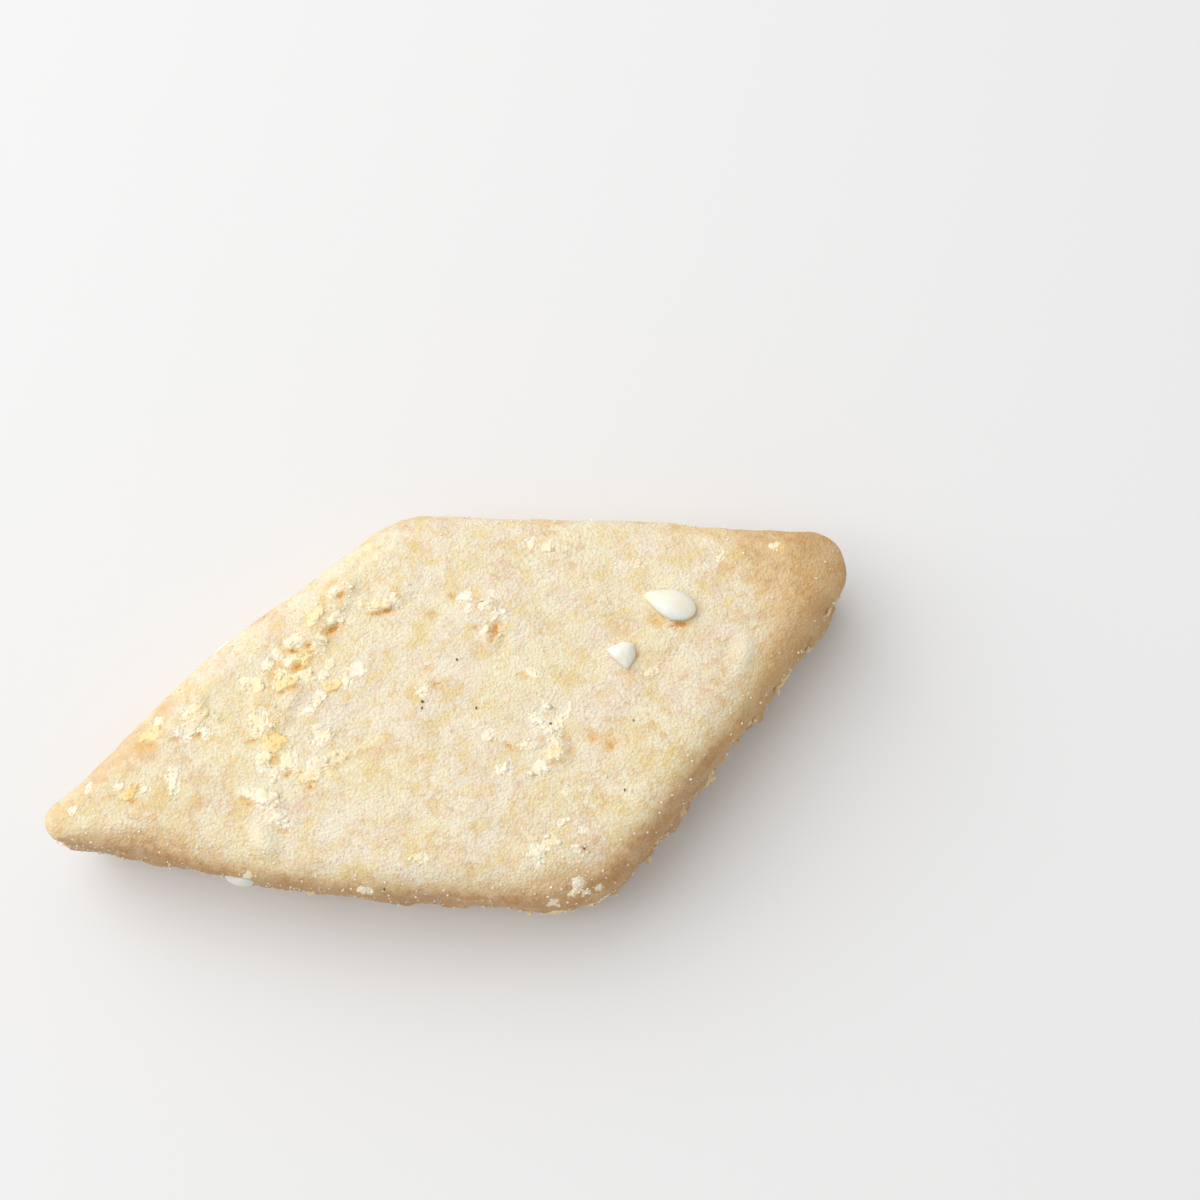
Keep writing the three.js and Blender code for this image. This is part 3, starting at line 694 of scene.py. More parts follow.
def fill(tree, sockets, values):
    """Fills sockets by name: another node's socket is linked, a plain value is typed in."""
    for label, value in values.items():
        if isinstance(value, bpy.types.NodeSocket):
            tree.links.new(value, sockets[label])
        else:
            sockets[label].default_value = value


def add(tree, kind, inputs, **settings):
    """A new node with its settings and its inputs."""
    node = tree.nodes.new(kind)
    for label, value in settings.items():
        setattr(node, label, value)
    fill(tree, node.inputs, inputs)
    return node


def maths(tree, operation, a, b, clamp=False):
    return add(tree, "ShaderNodeMath", {0: a, 1: b}, operation=operation, use_clamp=clamp).outputs[0]


def plus(tree, a, b, clamp=False):
    return maths(tree, "ADD", a, b, clamp)


def times(tree, product, *factors):
    for factor in factors:
        product = maths(tree, "MULTIPLY", product, factor)
    return product


def blend(tree, factor, a, b):
    """Colour a where the factor is 0, colour b where it is 1."""
    return add(tree, "ShaderNodeMix", {0: factor, 6: a, 7: b}, data_type="RGBA").outputs[2]


def step_between(tree, value, low, high, most=1.0):
    """0 below low, most above high, smooth between. high may be the smaller one."""
    inputs = {"Value": value, "From Min": low, "From Max": high, "To Max": most}
    return add(tree, "ShaderNodeMapRange", inputs, interpolation_type="SMOOTHSTEP").outputs[0]


def millimetres(tree):
    """The object's own coordinates, in millimetres."""
    place = add(tree, "ShaderNodeTexCoord", {}).outputs["Object"]
    return add(tree, "ShaderNodeVectorMath", {0: place, "Scale": 1 / MM}, operation="SCALE").outputs[0]


def noise(tree, place, size, detail=2.0, roughness=0.5):
    """A cloudy noise from 0 to 1 with patches about one size across, in millimetres."""
    inputs = {"Vector": place, "Scale": 1 / size, "Detail": detail, "Roughness": roughness}
    return add(tree, "ShaderNodeTexNoise", inputs).outputs["Fac"]


# %% Group: sandy grain
def sandy_grain_group():
    """Grains of sand-like dough: their height, how raised each top is, and the gaps between them."""
    group, given, out = new_group("sandy_grain", {"Size mm": 0.28, "Grit": 0.5},
                                  {"Height": VALUE, "Raised": VALUE, "Gap shade": VALUE})
    place = millimetres(group)
    wobble = add(group, "ShaderNodeTexNoise", {"Vector": place, "Scale": 6.0, "Detail": 1.0})
    place = add(group, "ShaderNodeVectorMath",
                {0: wobble.outputs["Color"], 1: (0.15,) * 3, 2: place},
                operation="MULTIPLY_ADD").outputs[0]
    scale = maths(group, "DIVIDE", 1.0, given["Size mm"])
    cells = add(group, "ShaderNodeTexVoronoi", {"Vector": place, "Scale": scale})
    sand = add(group, "ShaderNodeTexNoise",
               {"Vector": place, "Scale": scale, "Detail": 4.0, "Roughness": 0.7}).outputs["Fac"]
    proud = times(group, maths(group, "SUBTRACT", 0.6, cells.outputs["Distance"]), given["Grit"])
    height = plus(group, times(group, sand, 0.6), proud)
    # How raised each grain is, for its painted highlight, and the gaps, for painted shade between
    # grains
    fill(group, out, {"Height": height, "Raised": step_between(group, height, 0.4, 0.82),
                      "Gap shade": step_between(group, sand, 0.5, 0.32)})
    return group


# %% Group: toasted dough
DOUGH_INPUTS = {
    "Cream": (0.86, 0.78, 0.62, 1), "Tan": (0.76, 0.53, 0.28, 1), "Brown": (0.52, 0.27, 0.1, 1),
    "Gold": (0.82, 0.57, 0.22, 1), "Toast and shade": 0.2, "Butter and shade": 0.0, "Mottle": 1.0, "Speckle": 1.0,
    "Raised": 0.5, "Gap shade": 0.0,
}
FLOUR = (0.92, 0.87, 0.73, 1)
# Painted highlight for the raised grain tops, and painted shade for the gaps between grains
GRAIN_TOP_HIGHLIGHT = (0.97, 0.89, 0.73, 1)
GRAIN_GAP_SHADE = (0.62, 0.54, 0.41, 1)

# Tints that come and go: size of a patch in mm, noise from and to, strength, colour
TINTS = (
    (3.4, 0.46, 0.6, 0.75, (0.87, 0.76, 0.43, 1)),
    (2.6, 0.48, 0.68, 0.55, (0.81, 0.59, 0.46, 1)),
    (1.5, 0.48, 0.6, 0.75, (0.84, 0.67, 0.31, 1)),
    (0.7, 0.51, 0.64, 0.45, (0.79, 0.58, 0.29, 1)),
)


def toasted_dough_group():
    """Mottled dough colour from amounts of toast and butter, grain by grain, with a painted highlight
    on raised grains and painted shade in the gaps.
    """
    group, given, out = new_group("toasted_dough", DOUGH_INPUTS, {"Color": COLOUR, "Roughness": VALUE})
    place = millimetres(group)
    cloud = plus(group, noise(group, place, 3.0, 3), -0.5)
    patch = times(group, plus(group, noise(group, place, 0.55, 4, 0.65), -0.5), 1.7)
    uneven = times(group, plus(group, cloud, patch), given["Mottle"])
    # Painted shade in the gaps between grains, also added to the toast
    gap_shade = times(group, given["Gap shade"], given["Speckle"])
    toast_and_shade = plus(group, plus(group, given["Toast and shade"], uneven), times(group, gap_shade, 0.2))
    shade = blend(group, step_between(group, toast_and_shade, -0.05, 0.6), given["Cream"], given["Tan"])
    shade = blend(group, step_between(group, toast_and_shade, 0.55, 1.3), shade, given["Brown"])
    unbrowned = step_between(group, given["Toast and shade"], 0.75, 0.15)
    fresh = times(group, given["Mottle"], plus(group, unbrowned, 0.15, clamp=True))
    for size, low, high, most, colour in TINTS:
        tint = step_between(group, noise(group, place, size, 5, 0.7), low, high, most)
        shade = blend(group, times(group, tint, fresh), shade, colour)
    shade = blend(group, times(group, given["Butter and shade"], 0.9), shade, given["Gold"])
    floury = step_between(group, noise(group, place, 1.7, 5, 0.75), 0.42, 0.6)
    shade = blend(group, times(group, floury, fresh, 0.55), shade, FLOUR)
    # Painted highlight on the raised grain tops, paler where flour lies
    pale = times(group, step_between(group, given["Raised"], 0.35, 0.8),
                 plus(group, unbrowned, 0.35, clamp=True), given["Speckle"],
                 plus(group, times(group, floury, 0.5), 0.5),
                 plus(group, times(group, given["Butter and shade"], -0.6), 1.0))
    shade = blend(group, pale, shade, GRAIN_TOP_HIGHLIGHT)
    shade = blend(group, times(group, gap_shade, 0.6), shade, GRAIN_GAP_SHADE)
    roughness = plus(group, times(group, given["Raised"], -0.25), 0.75)
    fill(group, out, {"Color": shade, "Roughness": roughness})
    return group


sandy_grain = sandy_grain_group()
toasted_dough = toasted_dough_group()
print("nodes in the groups:", len(sandy_grain.nodes), "and", len(toasted_dough.nodes))

# %% [markdown]
# ## The dough's materials
# Baked dough scatters light a little under its surface, which warms the shadows between grains. The
# crust reads the numbers stored on its points: toast and butter, both with some painted shade in them,
# go into the dough group, and stains, pale spots, flecks of baked-on dough and the painted warm shade
# of the crevices are laid over it. Grain by grain, height and colour come from one group, so a raised
# grain gets a painted highlight and the gaps between grains get painted shade.

# %% Dough materials
# Laid over the crust's dough: stored number, strength, colour
CRUST_SPOTS = (("stain", 0.6, (0.71, 0.36, 0.22, 1)), ("pale", 0.75, (0.88, 0.84, 0.65, 1)))
FLECK = (0.96, 0.92, 0.78, 1)
# Painted warm shade for the crevices, and a darker painted shade for their cores
PAINTED_CREVICE_SHADE = (0.79, 0.46, 0.12, 1)
PAINTED_CREVICE_CORE_SHADE = (0.62, 0.28, 0.07, 1)


def new_material(name):
    """A material, its node tree, and the sockets of its shader."""
    material = bpy.data.materials.new(name)
    material.use_nodes = True
    return material, material.node_tree, material.node_tree.nodes["Principled BSDF"].inputs


def stored(tree, label):
    """A number stored on the points."""
    return add(tree, "ShaderNodeAttribute", {}, attribute_name=label).outputs["Fac"]


def grain_relief(tree, sand, height):
    """A normal from the grain's height, in millimetres, for the shader."""
    inputs = {"Height": sand.outputs["Height"], "Distance": height * MM}
    return add(tree, "ShaderNodeBump", inputs).outputs["Normal"]


def dough_material(name, amounts, grain, grit, bump, colours=None, glow=0.2, painted_glow=0.0):
    """A baked dough finish. Amounts are plain values or the names of stored numbers. The thin glow is
    a faint warm emission, painted light in the shade.
    """
    material, tree, shader = new_material(name)
    sand = add(tree, "ShaderNodeGroup", {"Size mm": grain, "Grit": grit}, node_tree=sandy_grain)
    inputs = {label: stored(tree, value) if isinstance(value, str) else value
              for label, value in amounts.items()}
    inputs |= {label: sand.outputs[label] for label in ("Raised", "Gap shade")}
    dough = add(tree, "ShaderNodeGroup", inputs | (colours or {}), node_tree=toasted_dough)
    fill(tree, shader, {
        "Base Color": dough.outputs["Color"], "Roughness": dough.outputs["Roughness"],
        "Normal": grain_relief(tree, sand, bump), "Specular IOR Level": 0.4,
        "Subsurface Weight": glow, "Subsurface Radius": (1.0, 0.6, 0.25),
        "Subsurface Scale": 0.5 * MM,
        # Emission: a faint warm glow, painted light that brightens the shade where no lamp reaches
        "Emission Color": (0.9, 0.7, 0.42, 1), "Emission Strength": painted_glow,
    })
    return material, tree, shader, dough


def crust_material():
    """The dough, then the spots, the flecks of baked-on dough and the painted warm shade in the
    crevices over it.
    """
    amounts = {"Toast and shade": "toast_and_shade", "Butter and shade": "butter_and_shade", "Mottle": 1.0}
    material, tree, shader, dough = dough_material("baked_crust", amounts, 0.19, 0.8, 0.082)
    grainy = plus(tree, times(tree, stored(tree, "smooth"), -0.85), 1.0)
    fill(tree, dough.inputs, {"Speckle": grainy})
    shade = dough.outputs["Color"]
    for label, most, colour in CRUST_SPOTS:
        shade = blend(tree, times(tree, stored(tree, label), most), shade, colour)
    place = millimetres(tree)
    cells = add(tree, "ShaderNodeTexVoronoi", {"Vector": place, "Scale": 1 / 0.28}).outputs["Color"]
    cloud = times(tree, noise(tree, place, 0.32, 5, 0.75), 1.3)
    ragged = plus(tree, plus(tree, cloud, times(tree, cells, 0.35)), -0.82)
    crevice, flaky = stored(tree, "crevice"), stored(tree, "flaky")
    flecks = times(tree, step_between(tree, plus(tree, flaky, ragged), 0.38, 0.5),
                   step_between(tree, flaky, 0.0, 0.15, 0.8), step_between(tree, crevice, 0.5, 0.1))
    shade = blend(tree, flecks, shade, FLECK)
    # Painted warm shade in the crevices: gold, with a darker painted core
    uneven = plus(tree, times(tree, ragged, 2.6), 0.72, clamp=True)
    shade = blend(tree, times(tree, crevice, uneven), shade, PAINTED_CREVICE_SHADE)
    crevice_core_shade = step_between(tree, plus(tree, crevice, ragged), 0.78, 1.02, 0.7)
    fill(tree, shader, {"Base Color": blend(tree, crevice_core_shade, shade, PAINTED_CREVICE_CORE_SHADE)})
    return material


crust = make_piece("cookie_crust", skin, skin_quads, crust_material(), skin_numbers)
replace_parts(crust, "cookie")

# %% [markdown]
# ## Finding the skin
# Seeds, flakes and crumbs lie on the finished skin, with all its grain. A tree of the skin's
# faces answers where a ray meets it, far faster than a search through every point.

# %% Rays to the skin
RAY_START = 4
RAY_REACH = 8
skin_surface = BVHTree.FromPolygons(skin.tolist(), skin_quads.tolist())


def skin_under(places, out):
    """Where rays from over the places, straight against the outward direction, meet the skin."""
    starts = places + RAY_START * out
    hits = [skin_surface.ray_cast(Vector(start), Vector(-out), RAY_REACH)[0] for start in starts]
    return np.array([tuple(hit) if hit else (math.nan,) * 3 for hit in hits])


def face_height(x, y):
    """Height of the skin at one place of the face."""
    return skin_under(np.array([[x, y, THICKNESS]]), UPWARD)[0, 2]


print("height of the face at its middle, mm:", round(face_height(0, 0), 2))

# %% [markdown]
# ## Sesame seeds
# A hulled sesame seed is a flat teardrop, 3 mm long, ivory and smooth, with a soft gloss. One
# whole seed lies on the face, a broken one next to it, and a few stuck to the sides. Each is a
# small ball pulled to a teardrop, as the solid's are, but with enough points to be smooth. The
# seeds under the skin are part of the crust, as soft pale swellings.

# %% Seed shapes
SEED_LENGTH, SEED_WIDTH, SEED_HEIGHT = 3.2, 1.95, 1.0

# Lying on the face: x, y, turn in degrees, height of its middle over the skin
FACE_SEEDS = ((14.4, 1.35, 139, 0.22),)

# Stuck to the sides: side, place along it, height, turn in degrees
WALL_SEEDS = ((0, 0.36, 5.2, 70), (2, 0.6, 4.4, -15), (3, 0.46, 5.6, 40))
WALL_SEED_SINK = 0.1

# A broken bit of seed: x, y, turn, half its size, height of its middle over the skin
SEED_CHIP = (10.6, -0.6, 23, 0.85, 0.12)


def ball(levels):
    """Points and triangles of a round ball, one across."""
    shape = bmesh.new()
    bmesh.ops.create_icosphere(shape, subdivisions=levels, radius=0.5)
    points = np.array([point.co for point in shape.verts])
    faces = np.array([[point.index for point in face.verts] for face in shape.faces])
    shape.free()
    return points, faces


def seed_points(unit_ball, seed):
    """A teardrop along X, pointed at its far end, slightly wrinkled."""
    x, y, z = unit_ball.T
    slim = mix(1, 0.62, smoothstep(-0.2, 0.5, x))
    points = np.column_stack([x, y * slim, z * mix(1, slim, 0.5)])
    points *= 1 + 0.06 * lumps(unit_ball, 0.5, seed)[:, None]
    return points * (SEED_LENGTH, SEED_WIDTH, SEED_HEIGHT)


def chip_points(unit_ball):
    """The blunt end of a broken seed: a wedge with three corners."""
    x, y, z = unit_ball.T
    angle = np.arctan2(y, x)[:, None] - np.radians([60, 180, 300])
    facing = np.sum(np.clip(np.cos(angle), 0, 1) ** 10, axis=1) ** 0.1
    wide = mix(1, 0.82 / facing**0.5, smoothstep(0, 0.35, np.hypot(x, y)))
    points = np.column_stack([x * wide, y * wide, z * 0.7])
    return points * (1 + 0.12 * lumps(unit_ball, 0.35, 79)[:, None])


def turned(points, *turns):
    """Turns points by (angle in degrees, axis) steps, in order."""
    for angle, axis in turns:
        points = points @ np.array(Matrix.Rotation(math.radians(angle), 3, axis)).T
    return points


def on_wall(points, side, along, height, turn, sink):
    """Stands points against a side, their Z axis outwards."""
    side, along = np.array([side]), np.array([along])
    rim, normal = outline_at(side, along)
    place = np.append(rim[0], height)
    out = wall_relief(place[None], normal, slump_at(side, along))[0] - sink
    points = turned(points, (turn, "Z"), (90, "X"))
    heading = math.degrees(math.atan2(normal[0, 1], normal[0, 0])) + 90
    return turned(points, (heading, "Z")) + place + np.append(normal[0] * out, 0)


def joined(parts):
    """One list of points and one of faces from several of each."""
    points, faces, start = [], [], 0
    for part_points, part_faces in parts:
        points.append(part_points)
        faces.append(part_faces + start)
        start += len(part_points)
    return np.concatenate(points), np.concatenate(faces)


# %% Seed material and piece
def seed_material():
    """White with ivory patches, and a soft oily gloss."""
    material, tree, shader = new_material("hulled_sesame")
    ivory = step_between(tree, noise(tree, millimetres(tree), 1.1, 3), 0.35, 0.7)
    sand = add(tree, "ShaderNodeGroup", {"Size mm": 0.4, "Grit": 0.1}, node_tree=sandy_grain)
    fill(tree, shader, {
        "Base Color": blend(tree, ivory, (0.84, 0.88, 0.84, 1), (0.84, 0.82, 0.68, 1)),
        "Normal": grain_relief(tree, sand, 0.05), "Roughness": 0.33, "Subsurface Weight": 0.5,
        "Subsurface Radius": (1.0, 0.85, 0.5), "Subsurface Scale": 0.6 * MM,
    })
    return material


def seeds():
    """All the seeds on the face and the sides, and the broken bit, as points and faces."""
    whole, faces = ball(4)
    parts = []
    for number, (x, y, turn, over) in enumerate(FACE_SEEDS):
        points = turned(seed_points(whole, 80 + number), (turn, "Z"))
        parts.append((points + (x, y, face_height(x, y) + over), faces))
    for number, (side, along, height, turn) in enumerate(WALL_SEEDS):
        points = seed_points(whole, 90 + number)
        parts.append((on_wall(points, side, along, height, turn, WALL_SEED_SINK), faces))
    x, y, turn, size, over = SEED_CHIP
    chip = turned(chip_points(whole), (turn, "Z")) * 2 * size
    parts.append((chip + (x, y, face_height(x, y) + over), faces))
    return joined(parts)


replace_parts(make_piece("sesame_seeds", *seeds(), seed_material()), "cookie")

# %% [markdown]
# ## Flakes of baked-on dough
# A flake is a scrap of dough, about a tenth of a millimetre thick, that lies on the skin and follows
# it. A ball squashed flat would hover over hollows. Here a small grid of rays finds the skin under
# each flake, noise makes its edge ragged, and a copy of the grid just under the skin closes it. Each
# point also stores how near the edge it is, and the edges get gold: partly browning, partly painted
# warm shade on the rims.
# The sheet alone looks poured, so it also names places where small flat chips will lie on it.

# %% One flake
FLAKE_CELL = 0.06
UNDER_SKIN = 0.12
LOWEST_FACE = 7


def closed_sheet(top, under, quads):
    """A top sheet, the same sheet below it turned over, and a strip round its edges."""
    count = len(top)
    edges = np.concatenate([quads[:, [i, (i + 1) % 4]] for i in range(4)])
    known = set(map(tuple, edges.tolist()))
    rim = np.array([(a, b) for a, b in edges.tolist() if (b, a) not in known])
    strips = np.column_stack([rim[:, 1], rim[:, 0], rim[:, 0] + count, rim[:, 1] + count])
    faces = np.concatenate([quads, quads[:, ::-1] + count, strips])
    used, faces = np.unique(faces, return_inverse=True)
    return np.concatenate([top, under])[used], faces.reshape(-1, 4), used


def flake(centre, out, long, wide, turn, seed):
    """A ragged flake on the skin: its points, faces, how far inside each point is, chip places."""
    on_face = out[2] > 0.5
    turn = math.radians(turn)
    level = np.array([1.0, 0, 0]) if on_face else np.array([-out[1], out[0], 0])
    ahead = level * math.cos(turn) + np.cross(out, level) * math.sin(turn)
    beside = np.cross(out, ahead)
    size = math.sqrt(long * wide)
    cell = min(FLAKE_CELL, size / 4)
    columns = np.arange(-1.5 * long, 1.5 * long + cell, cell)
    rows = np.arange(-1.5 * wide, 1.5 * wide + cell, cell)
    a, b = (grid.ravel() for grid in np.meshgrid(columns, rows))
    places = centre + a[:, None] * ahead + b[:, None] * beside
    depth = 1 - np.hypot(a / long, b / wide)
    for lump, amount in ((1.2 * size, 0.4), (0.5 * size, 0.3)):
        depth += amount * lumps(places, max(lump, 0.1), seed)
    depth += (0.16 * grains(places, 0.45, seed) + 0.08 * grains(places, 0.22, seed + 1)) / size
    depth -= 1.5 * spots_amount(places, CREVICES, CREVICE_RAGGEDNESS)
    ground = skin_under(places, out)
    missed = np.isnan(ground[:, 0])
    depth[missed | (on_face & (ground[:, 2] < LOWEST_FACE))] = -1
    knobbly = 0.8 + 0.2 * lumps(places, 0.4, seed + 1) + 0.2 * lumps(places, 0.2, seed + 2)
    rise = (0.03 + 0.06 * size) * smoothstep(0, 0.3, depth) * knobbly
    first = np.arange(len(rows) - 1)[:, None] * len(columns) + np.arange(len(columns) - 1)
    quads = first.reshape(-1, 1) + (0, 1, 1 + len(columns), len(columns))
    kept = quads[(depth[quads].mean(axis=1) > 0) & ~missed[quads].any(axis=1)]
    if len(kept) < 3:
        return None
    top = ground + rise[:, None] * out
    points, faces, source = closed_sheet(top, ground - UNDER_SKIN * out, kept)
    depth_and_under = np.append(depth, np.zeros(len(depth)))
    return points, faces, depth_and_under[source], top[(depth > -0.12) & ~missed]


# %% All the flakes
WALL_TONE = 0.6
FLAKE_AMOUNTS = {"Toast and shade": "toast_and_shade", "Butter and shade": "butter_and_shade", "Mottle": 0.5, "Speckle": 0.45}
FLAKE_COLOURS = {"Cream": (0.97, 0.94, 0.81, 1), "Tan": (0.93, 0.79, 0.48, 1),
                 "Gold": (0.88, 0.63, 0.22, 1)}


def flake_places():
    """For each flake its middle, outward direction, half sizes and turn, seed, and tone."""
    for number, (x, y, *shape, tone) in enumerate(FLAKES):
        yield np.array([x, y, THICKNESS]), UPWARD, shape, 200 + 3 * number, tone
    for number, (side, along, height, *shape, tone) in enumerate(WALL_FLAKES):
        rim, normal = outline_at(np.array([side]), np.array([along]))
        centre, out = np.append(rim[0], height), np.append(normal[0], 0)
        yield centre, out, shape, 600 + 3 * number, tone + WALL_TONE


def flakes():
    """All the flakes as points and faces, with toast and butter, and the chip places on them."""
    parts, depths, tones, beds = [], [], [], []
    for centre, out, shape, seed, tone in flake_places():
        made = flake(centre, out, *shape, seed)
        if made is None:
            continue
        points, faces, depth, bed = made
        parts.append((points, faces))
        depths.append(depth)
        tones.append(np.full(len(points), tone))
        beds.append(np.column_stack([bed, np.tile(np.append(out, tone), (len(bed), 1))]))
    points, faces = joined(parts)
    # Gold at the edges: partly browning, partly painted warm shade on the rims and sides
    edge, tone = smoothstep(0.35, 0, np.concatenate(depths)), np.concatenate(tones)
    patchy = lumps(points, 0.5, 79)
    gold = 0.9 * tone * (0.8 + 0.45 * patchy + 0.45 * lumps(points, 0.2, 81))
    numbers = {"toast_and_shade": 0.5 * tone - 0.05 + 0.12 * patchy + 0.15 * edge,
               "butter_and_shade": np.clip(0.04 + gold + 0.45 * edge * (0.7 + patchy), 0, 1)}
    return points, faces, numbers, np.concatenate(beds)


# The flakes glow faintly: painted light in their shade
flake_dough = dough_material("pale_flakes", FLAKE_AMOUNTS, 0.16, 0.6, 0.04, FLAKE_COLOURS,
                             glow=0.0, painted_glow=0.06)[0]
flake_points, flake_faces, flake_numbers, chip_beds = flakes()
flake_piece = make_piece("dough_flakes", flake_points, flake_faces, flake_dough, flake_numbers)
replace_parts(flake_piece, "cookie")

# %% [markdown]
# ## Crumbs
# Crumbs are broken dough: small angular bits. One way is a particle system, but an export leaves
# particles out, so every crumb is real mesh. A few balls are chipped flat on random sides, as
# broken bits are, then copied, turned and stretched at random, and half sunk into the skin where
# crumbs gather: around the flakes and on the torn sides.

# %% Nibs and crumb shapes
# Nibs on the sides: how many a side, least and most half size, lowest, highest, seed of the draws
WALL_NIBS = (6, 0.4, 0.75, 0.8, 3.4, 51)


def crumb_shapes(draw, how_many, levels, cuts=9):
    """Balls chipped flat on random sides, no two alike, and the faces that they share."""
    points, faces = ball(levels)
    shapes = []
    for _ in range(how_many):
        shape = points
        for side in unit(draw.normal(size=(cuts, 3))):
            proud = np.clip(shape @ side - draw.uniform(0.14, 0.4), 0, None)
            shape = shape - proud[:, None] * side
        shapes.append(shape * (1 + 0.1 * draw.normal(size=(len(points), 1))))
    return np.array(shapes), faces


def nibs():
    """The larger lumps of dough that the solid has on its sides."""
    per_side, least, most, lowest, highest, seed = WALL_NIBS
    points, faces = ball(3)
    parts = []
    for number in range(4 * per_side):
        side, place = divmod(number, per_side)
        drawn = cell_value(np.array([(side, place, item) for item in range(3)]), seed)
        size = mix(least, most, drawn[0])
        along = (place + mix(0.2, 0.8, drawn[1])) / per_side
        height = mix(lowest, highest, drawn[2])
        moved = points + 7 * number
        dent = 1 + 0.3 * lumps(moved, 0.45, 101) + 0.22 * lumps(moved, 0.2, 102)
        dent += 0.1 * lumps(moved, 0.1, 103)
        shape = points * dent[:, None] * (2 * size, 2 * size, 1.6 * size)
        parts.append((on_wall(shape, side, along, height, 0, size * 0.7), faces))
    return joined(parts)


# %% Scattering crumbs
LOWEST_BIT = 0.02
SCATTER = 0.08

crust_normals = np.empty(len(skin) * 3, np.float32)
crust.data.vertices.foreach_get("normal", crust_normals)
crust_normals = crust_normals.reshape(-1, 3).astype(float)


def facing(draw, normals, tilt):
    """Turns that lay a shape's Z axis near each normal, spun at random. A high tilt is any way up."""
    up = unit(normals + tilt * draw.normal(size=normals.shape))
    ahead = unit(np.cross(up, draw.normal(size=normals.shape)))
    return np.stack([ahead, np.cross(up, ahead), up], axis=1)


def scatter(draw, shapes, faces, places, normals, sizes, sink, tilt=4, flat=1, least_stretch=0.7):
    """Copies shapes to the places, each turned and stretched its own way, sunk along its normal."""
    count = len(places)
    turns = facing(draw, normals, tilt)
    stretch = draw.uniform(least_stretch, 2 - least_stretch, (count, 1, 3)) * (1, 1, flat)
    kinds = shapes[draw.integers(len(shapes), size=count)]
    points = (kinds * stretch * sizes[:, None, None]) @ turns
    centres = places + normals * (sizes * flat * (0.5 - sink))[:, None]
    points += centres[:, None]
    starts = np.arange(count)[:, None, None] * shapes.shape[1]
    return points.reshape(-1, 3), (faces + starts).reshape(-1, 3)


def bits_piece(name, points, faces, material, numbers):
    """A piece of many bits, kept just over the tray. A stored number has one value for each bit."""
    points[:, 2] = np.maximum(points[:, 2], LOWEST_BIT)
    spread = {label: np.repeat(values, len(points) // len(values))
              for label, values in numbers.items()}
    piece = make_piece(name, points, faces, material, spread)
    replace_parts(piece, "cookie")
    return piece


def skin_places(draw, weights, count):
    """Random places on the skin, more where the weight is high."""
    chosen = draw.choice(len(skin), size=count, p=weights / weights.sum())
    return skin[chosen] + draw.uniform(-SCATTER, SCATTER, (count, 3)), crust_normals[chosen]


def satellite_places(draw, each):
    """Small chips that came off the flakes: where they lie around them."""
    x, y, long, wide = np.repeat(np.array(FLAKES)[:, :4], each, axis=0).T
    angle = draw.uniform(0, 2 * math.pi, len(x))
    away = draw.uniform(0.9, 1.9, len(x)) * np.sqrt(long * wide) + 0.1
    x, y = x + away * np.cos(angle), y + away * np.sin(angle)
    ground = skin_under(np.column_stack([x, y, np.full(len(x), THICKNESS)]), UPWARD)
    return ground[~np.isnan(ground[:, 2])]


# %% Chips on and around the flakes
CHIPS_BESIDE_FLAKE = 3
RIDGE_CHIPS = 200

crumb_draw = np.random.default_rng(7)
chips, chip_faces = crumb_shapes(crumb_draw, 12, 2)
small_chips, small_chip_faces = crumb_shapes(crumb_draw, 16, 1, cuts=6)
small_chips = small_chips * crumb_draw.uniform(0.75, 1.3, (16, small_chips.shape[1], 1))


def flake_chips():
    """Small flat chips over the flakes, beside them, and golden ones along the ridge."""
    beds = chip_beds[crumb_draw.random(len(chip_beds)) < 0.08 * (1 - 0.5 * chip_beds[:, 6])]
    beside = satellite_places(crumb_draw, CHIPS_BESIDE_FLAKE)
    rough = (skin_traits["ridge"] + 0.15 * skin_traits["rough"]) * (skin_numbers["crevice"] < 0.1)
    on_ridge, ridge_normals = skin_places(crumb_draw, rough, RIDGE_CHIPS)
    places = np.concatenate([beds[:, :3], beside, on_ridge])
    normals = np.concatenate([beds[:, 3:6], np.tile(UPWARD, (len(beside), 1)), ridge_normals])
    ridge_tone = np.clip(0.3 + 0.5 * lumps(on_ridge, 1.4, 82), 0, 1)
    tone = np.concatenate([beds[:, 6], crumb_draw.uniform(0, 0.5, len(beside)), ridge_tone])
    tone = np.clip(tone + crumb_draw.uniform(-0.15, 0.15, len(tone)), 0, 1)
    sizes = 0.14 + 0.36 * crumb_draw.random(len(tone)) ** 2
    sizes[len(beds):] *= 0.75
    points, faces = scatter(crumb_draw, small_chips, small_chip_faces, places, normals, sizes,
                            sink=0.7, tilt=0.12, flat=0.5, least_stretch=0.5)
    return points, faces, flake_dough, {"toast_and_shade": 0.6 * tone - 0.1, "butter_and_shade": 0.7 * tone}


bits_piece("flake_chips", *flake_chips())

# %% Crumbs and nibs on the sides
SIDE_CRUMBS = 420
CRUMB_COLOURS = {"Cream": (0.9, 0.81, 0.57, 1), "Tan": (0.8, 0.58, 0.3, 1)}

# The crumbs glow faintly: painted light in their shade
golden_dough = dough_material("golden_crumbs", FLAKE_AMOUNTS | {"Butter and shade": 0.1}, 0.14, 0.6, 0.05,
                              CRUMB_COLOURS, glow=0.0, painted_glow=0.03)[0]


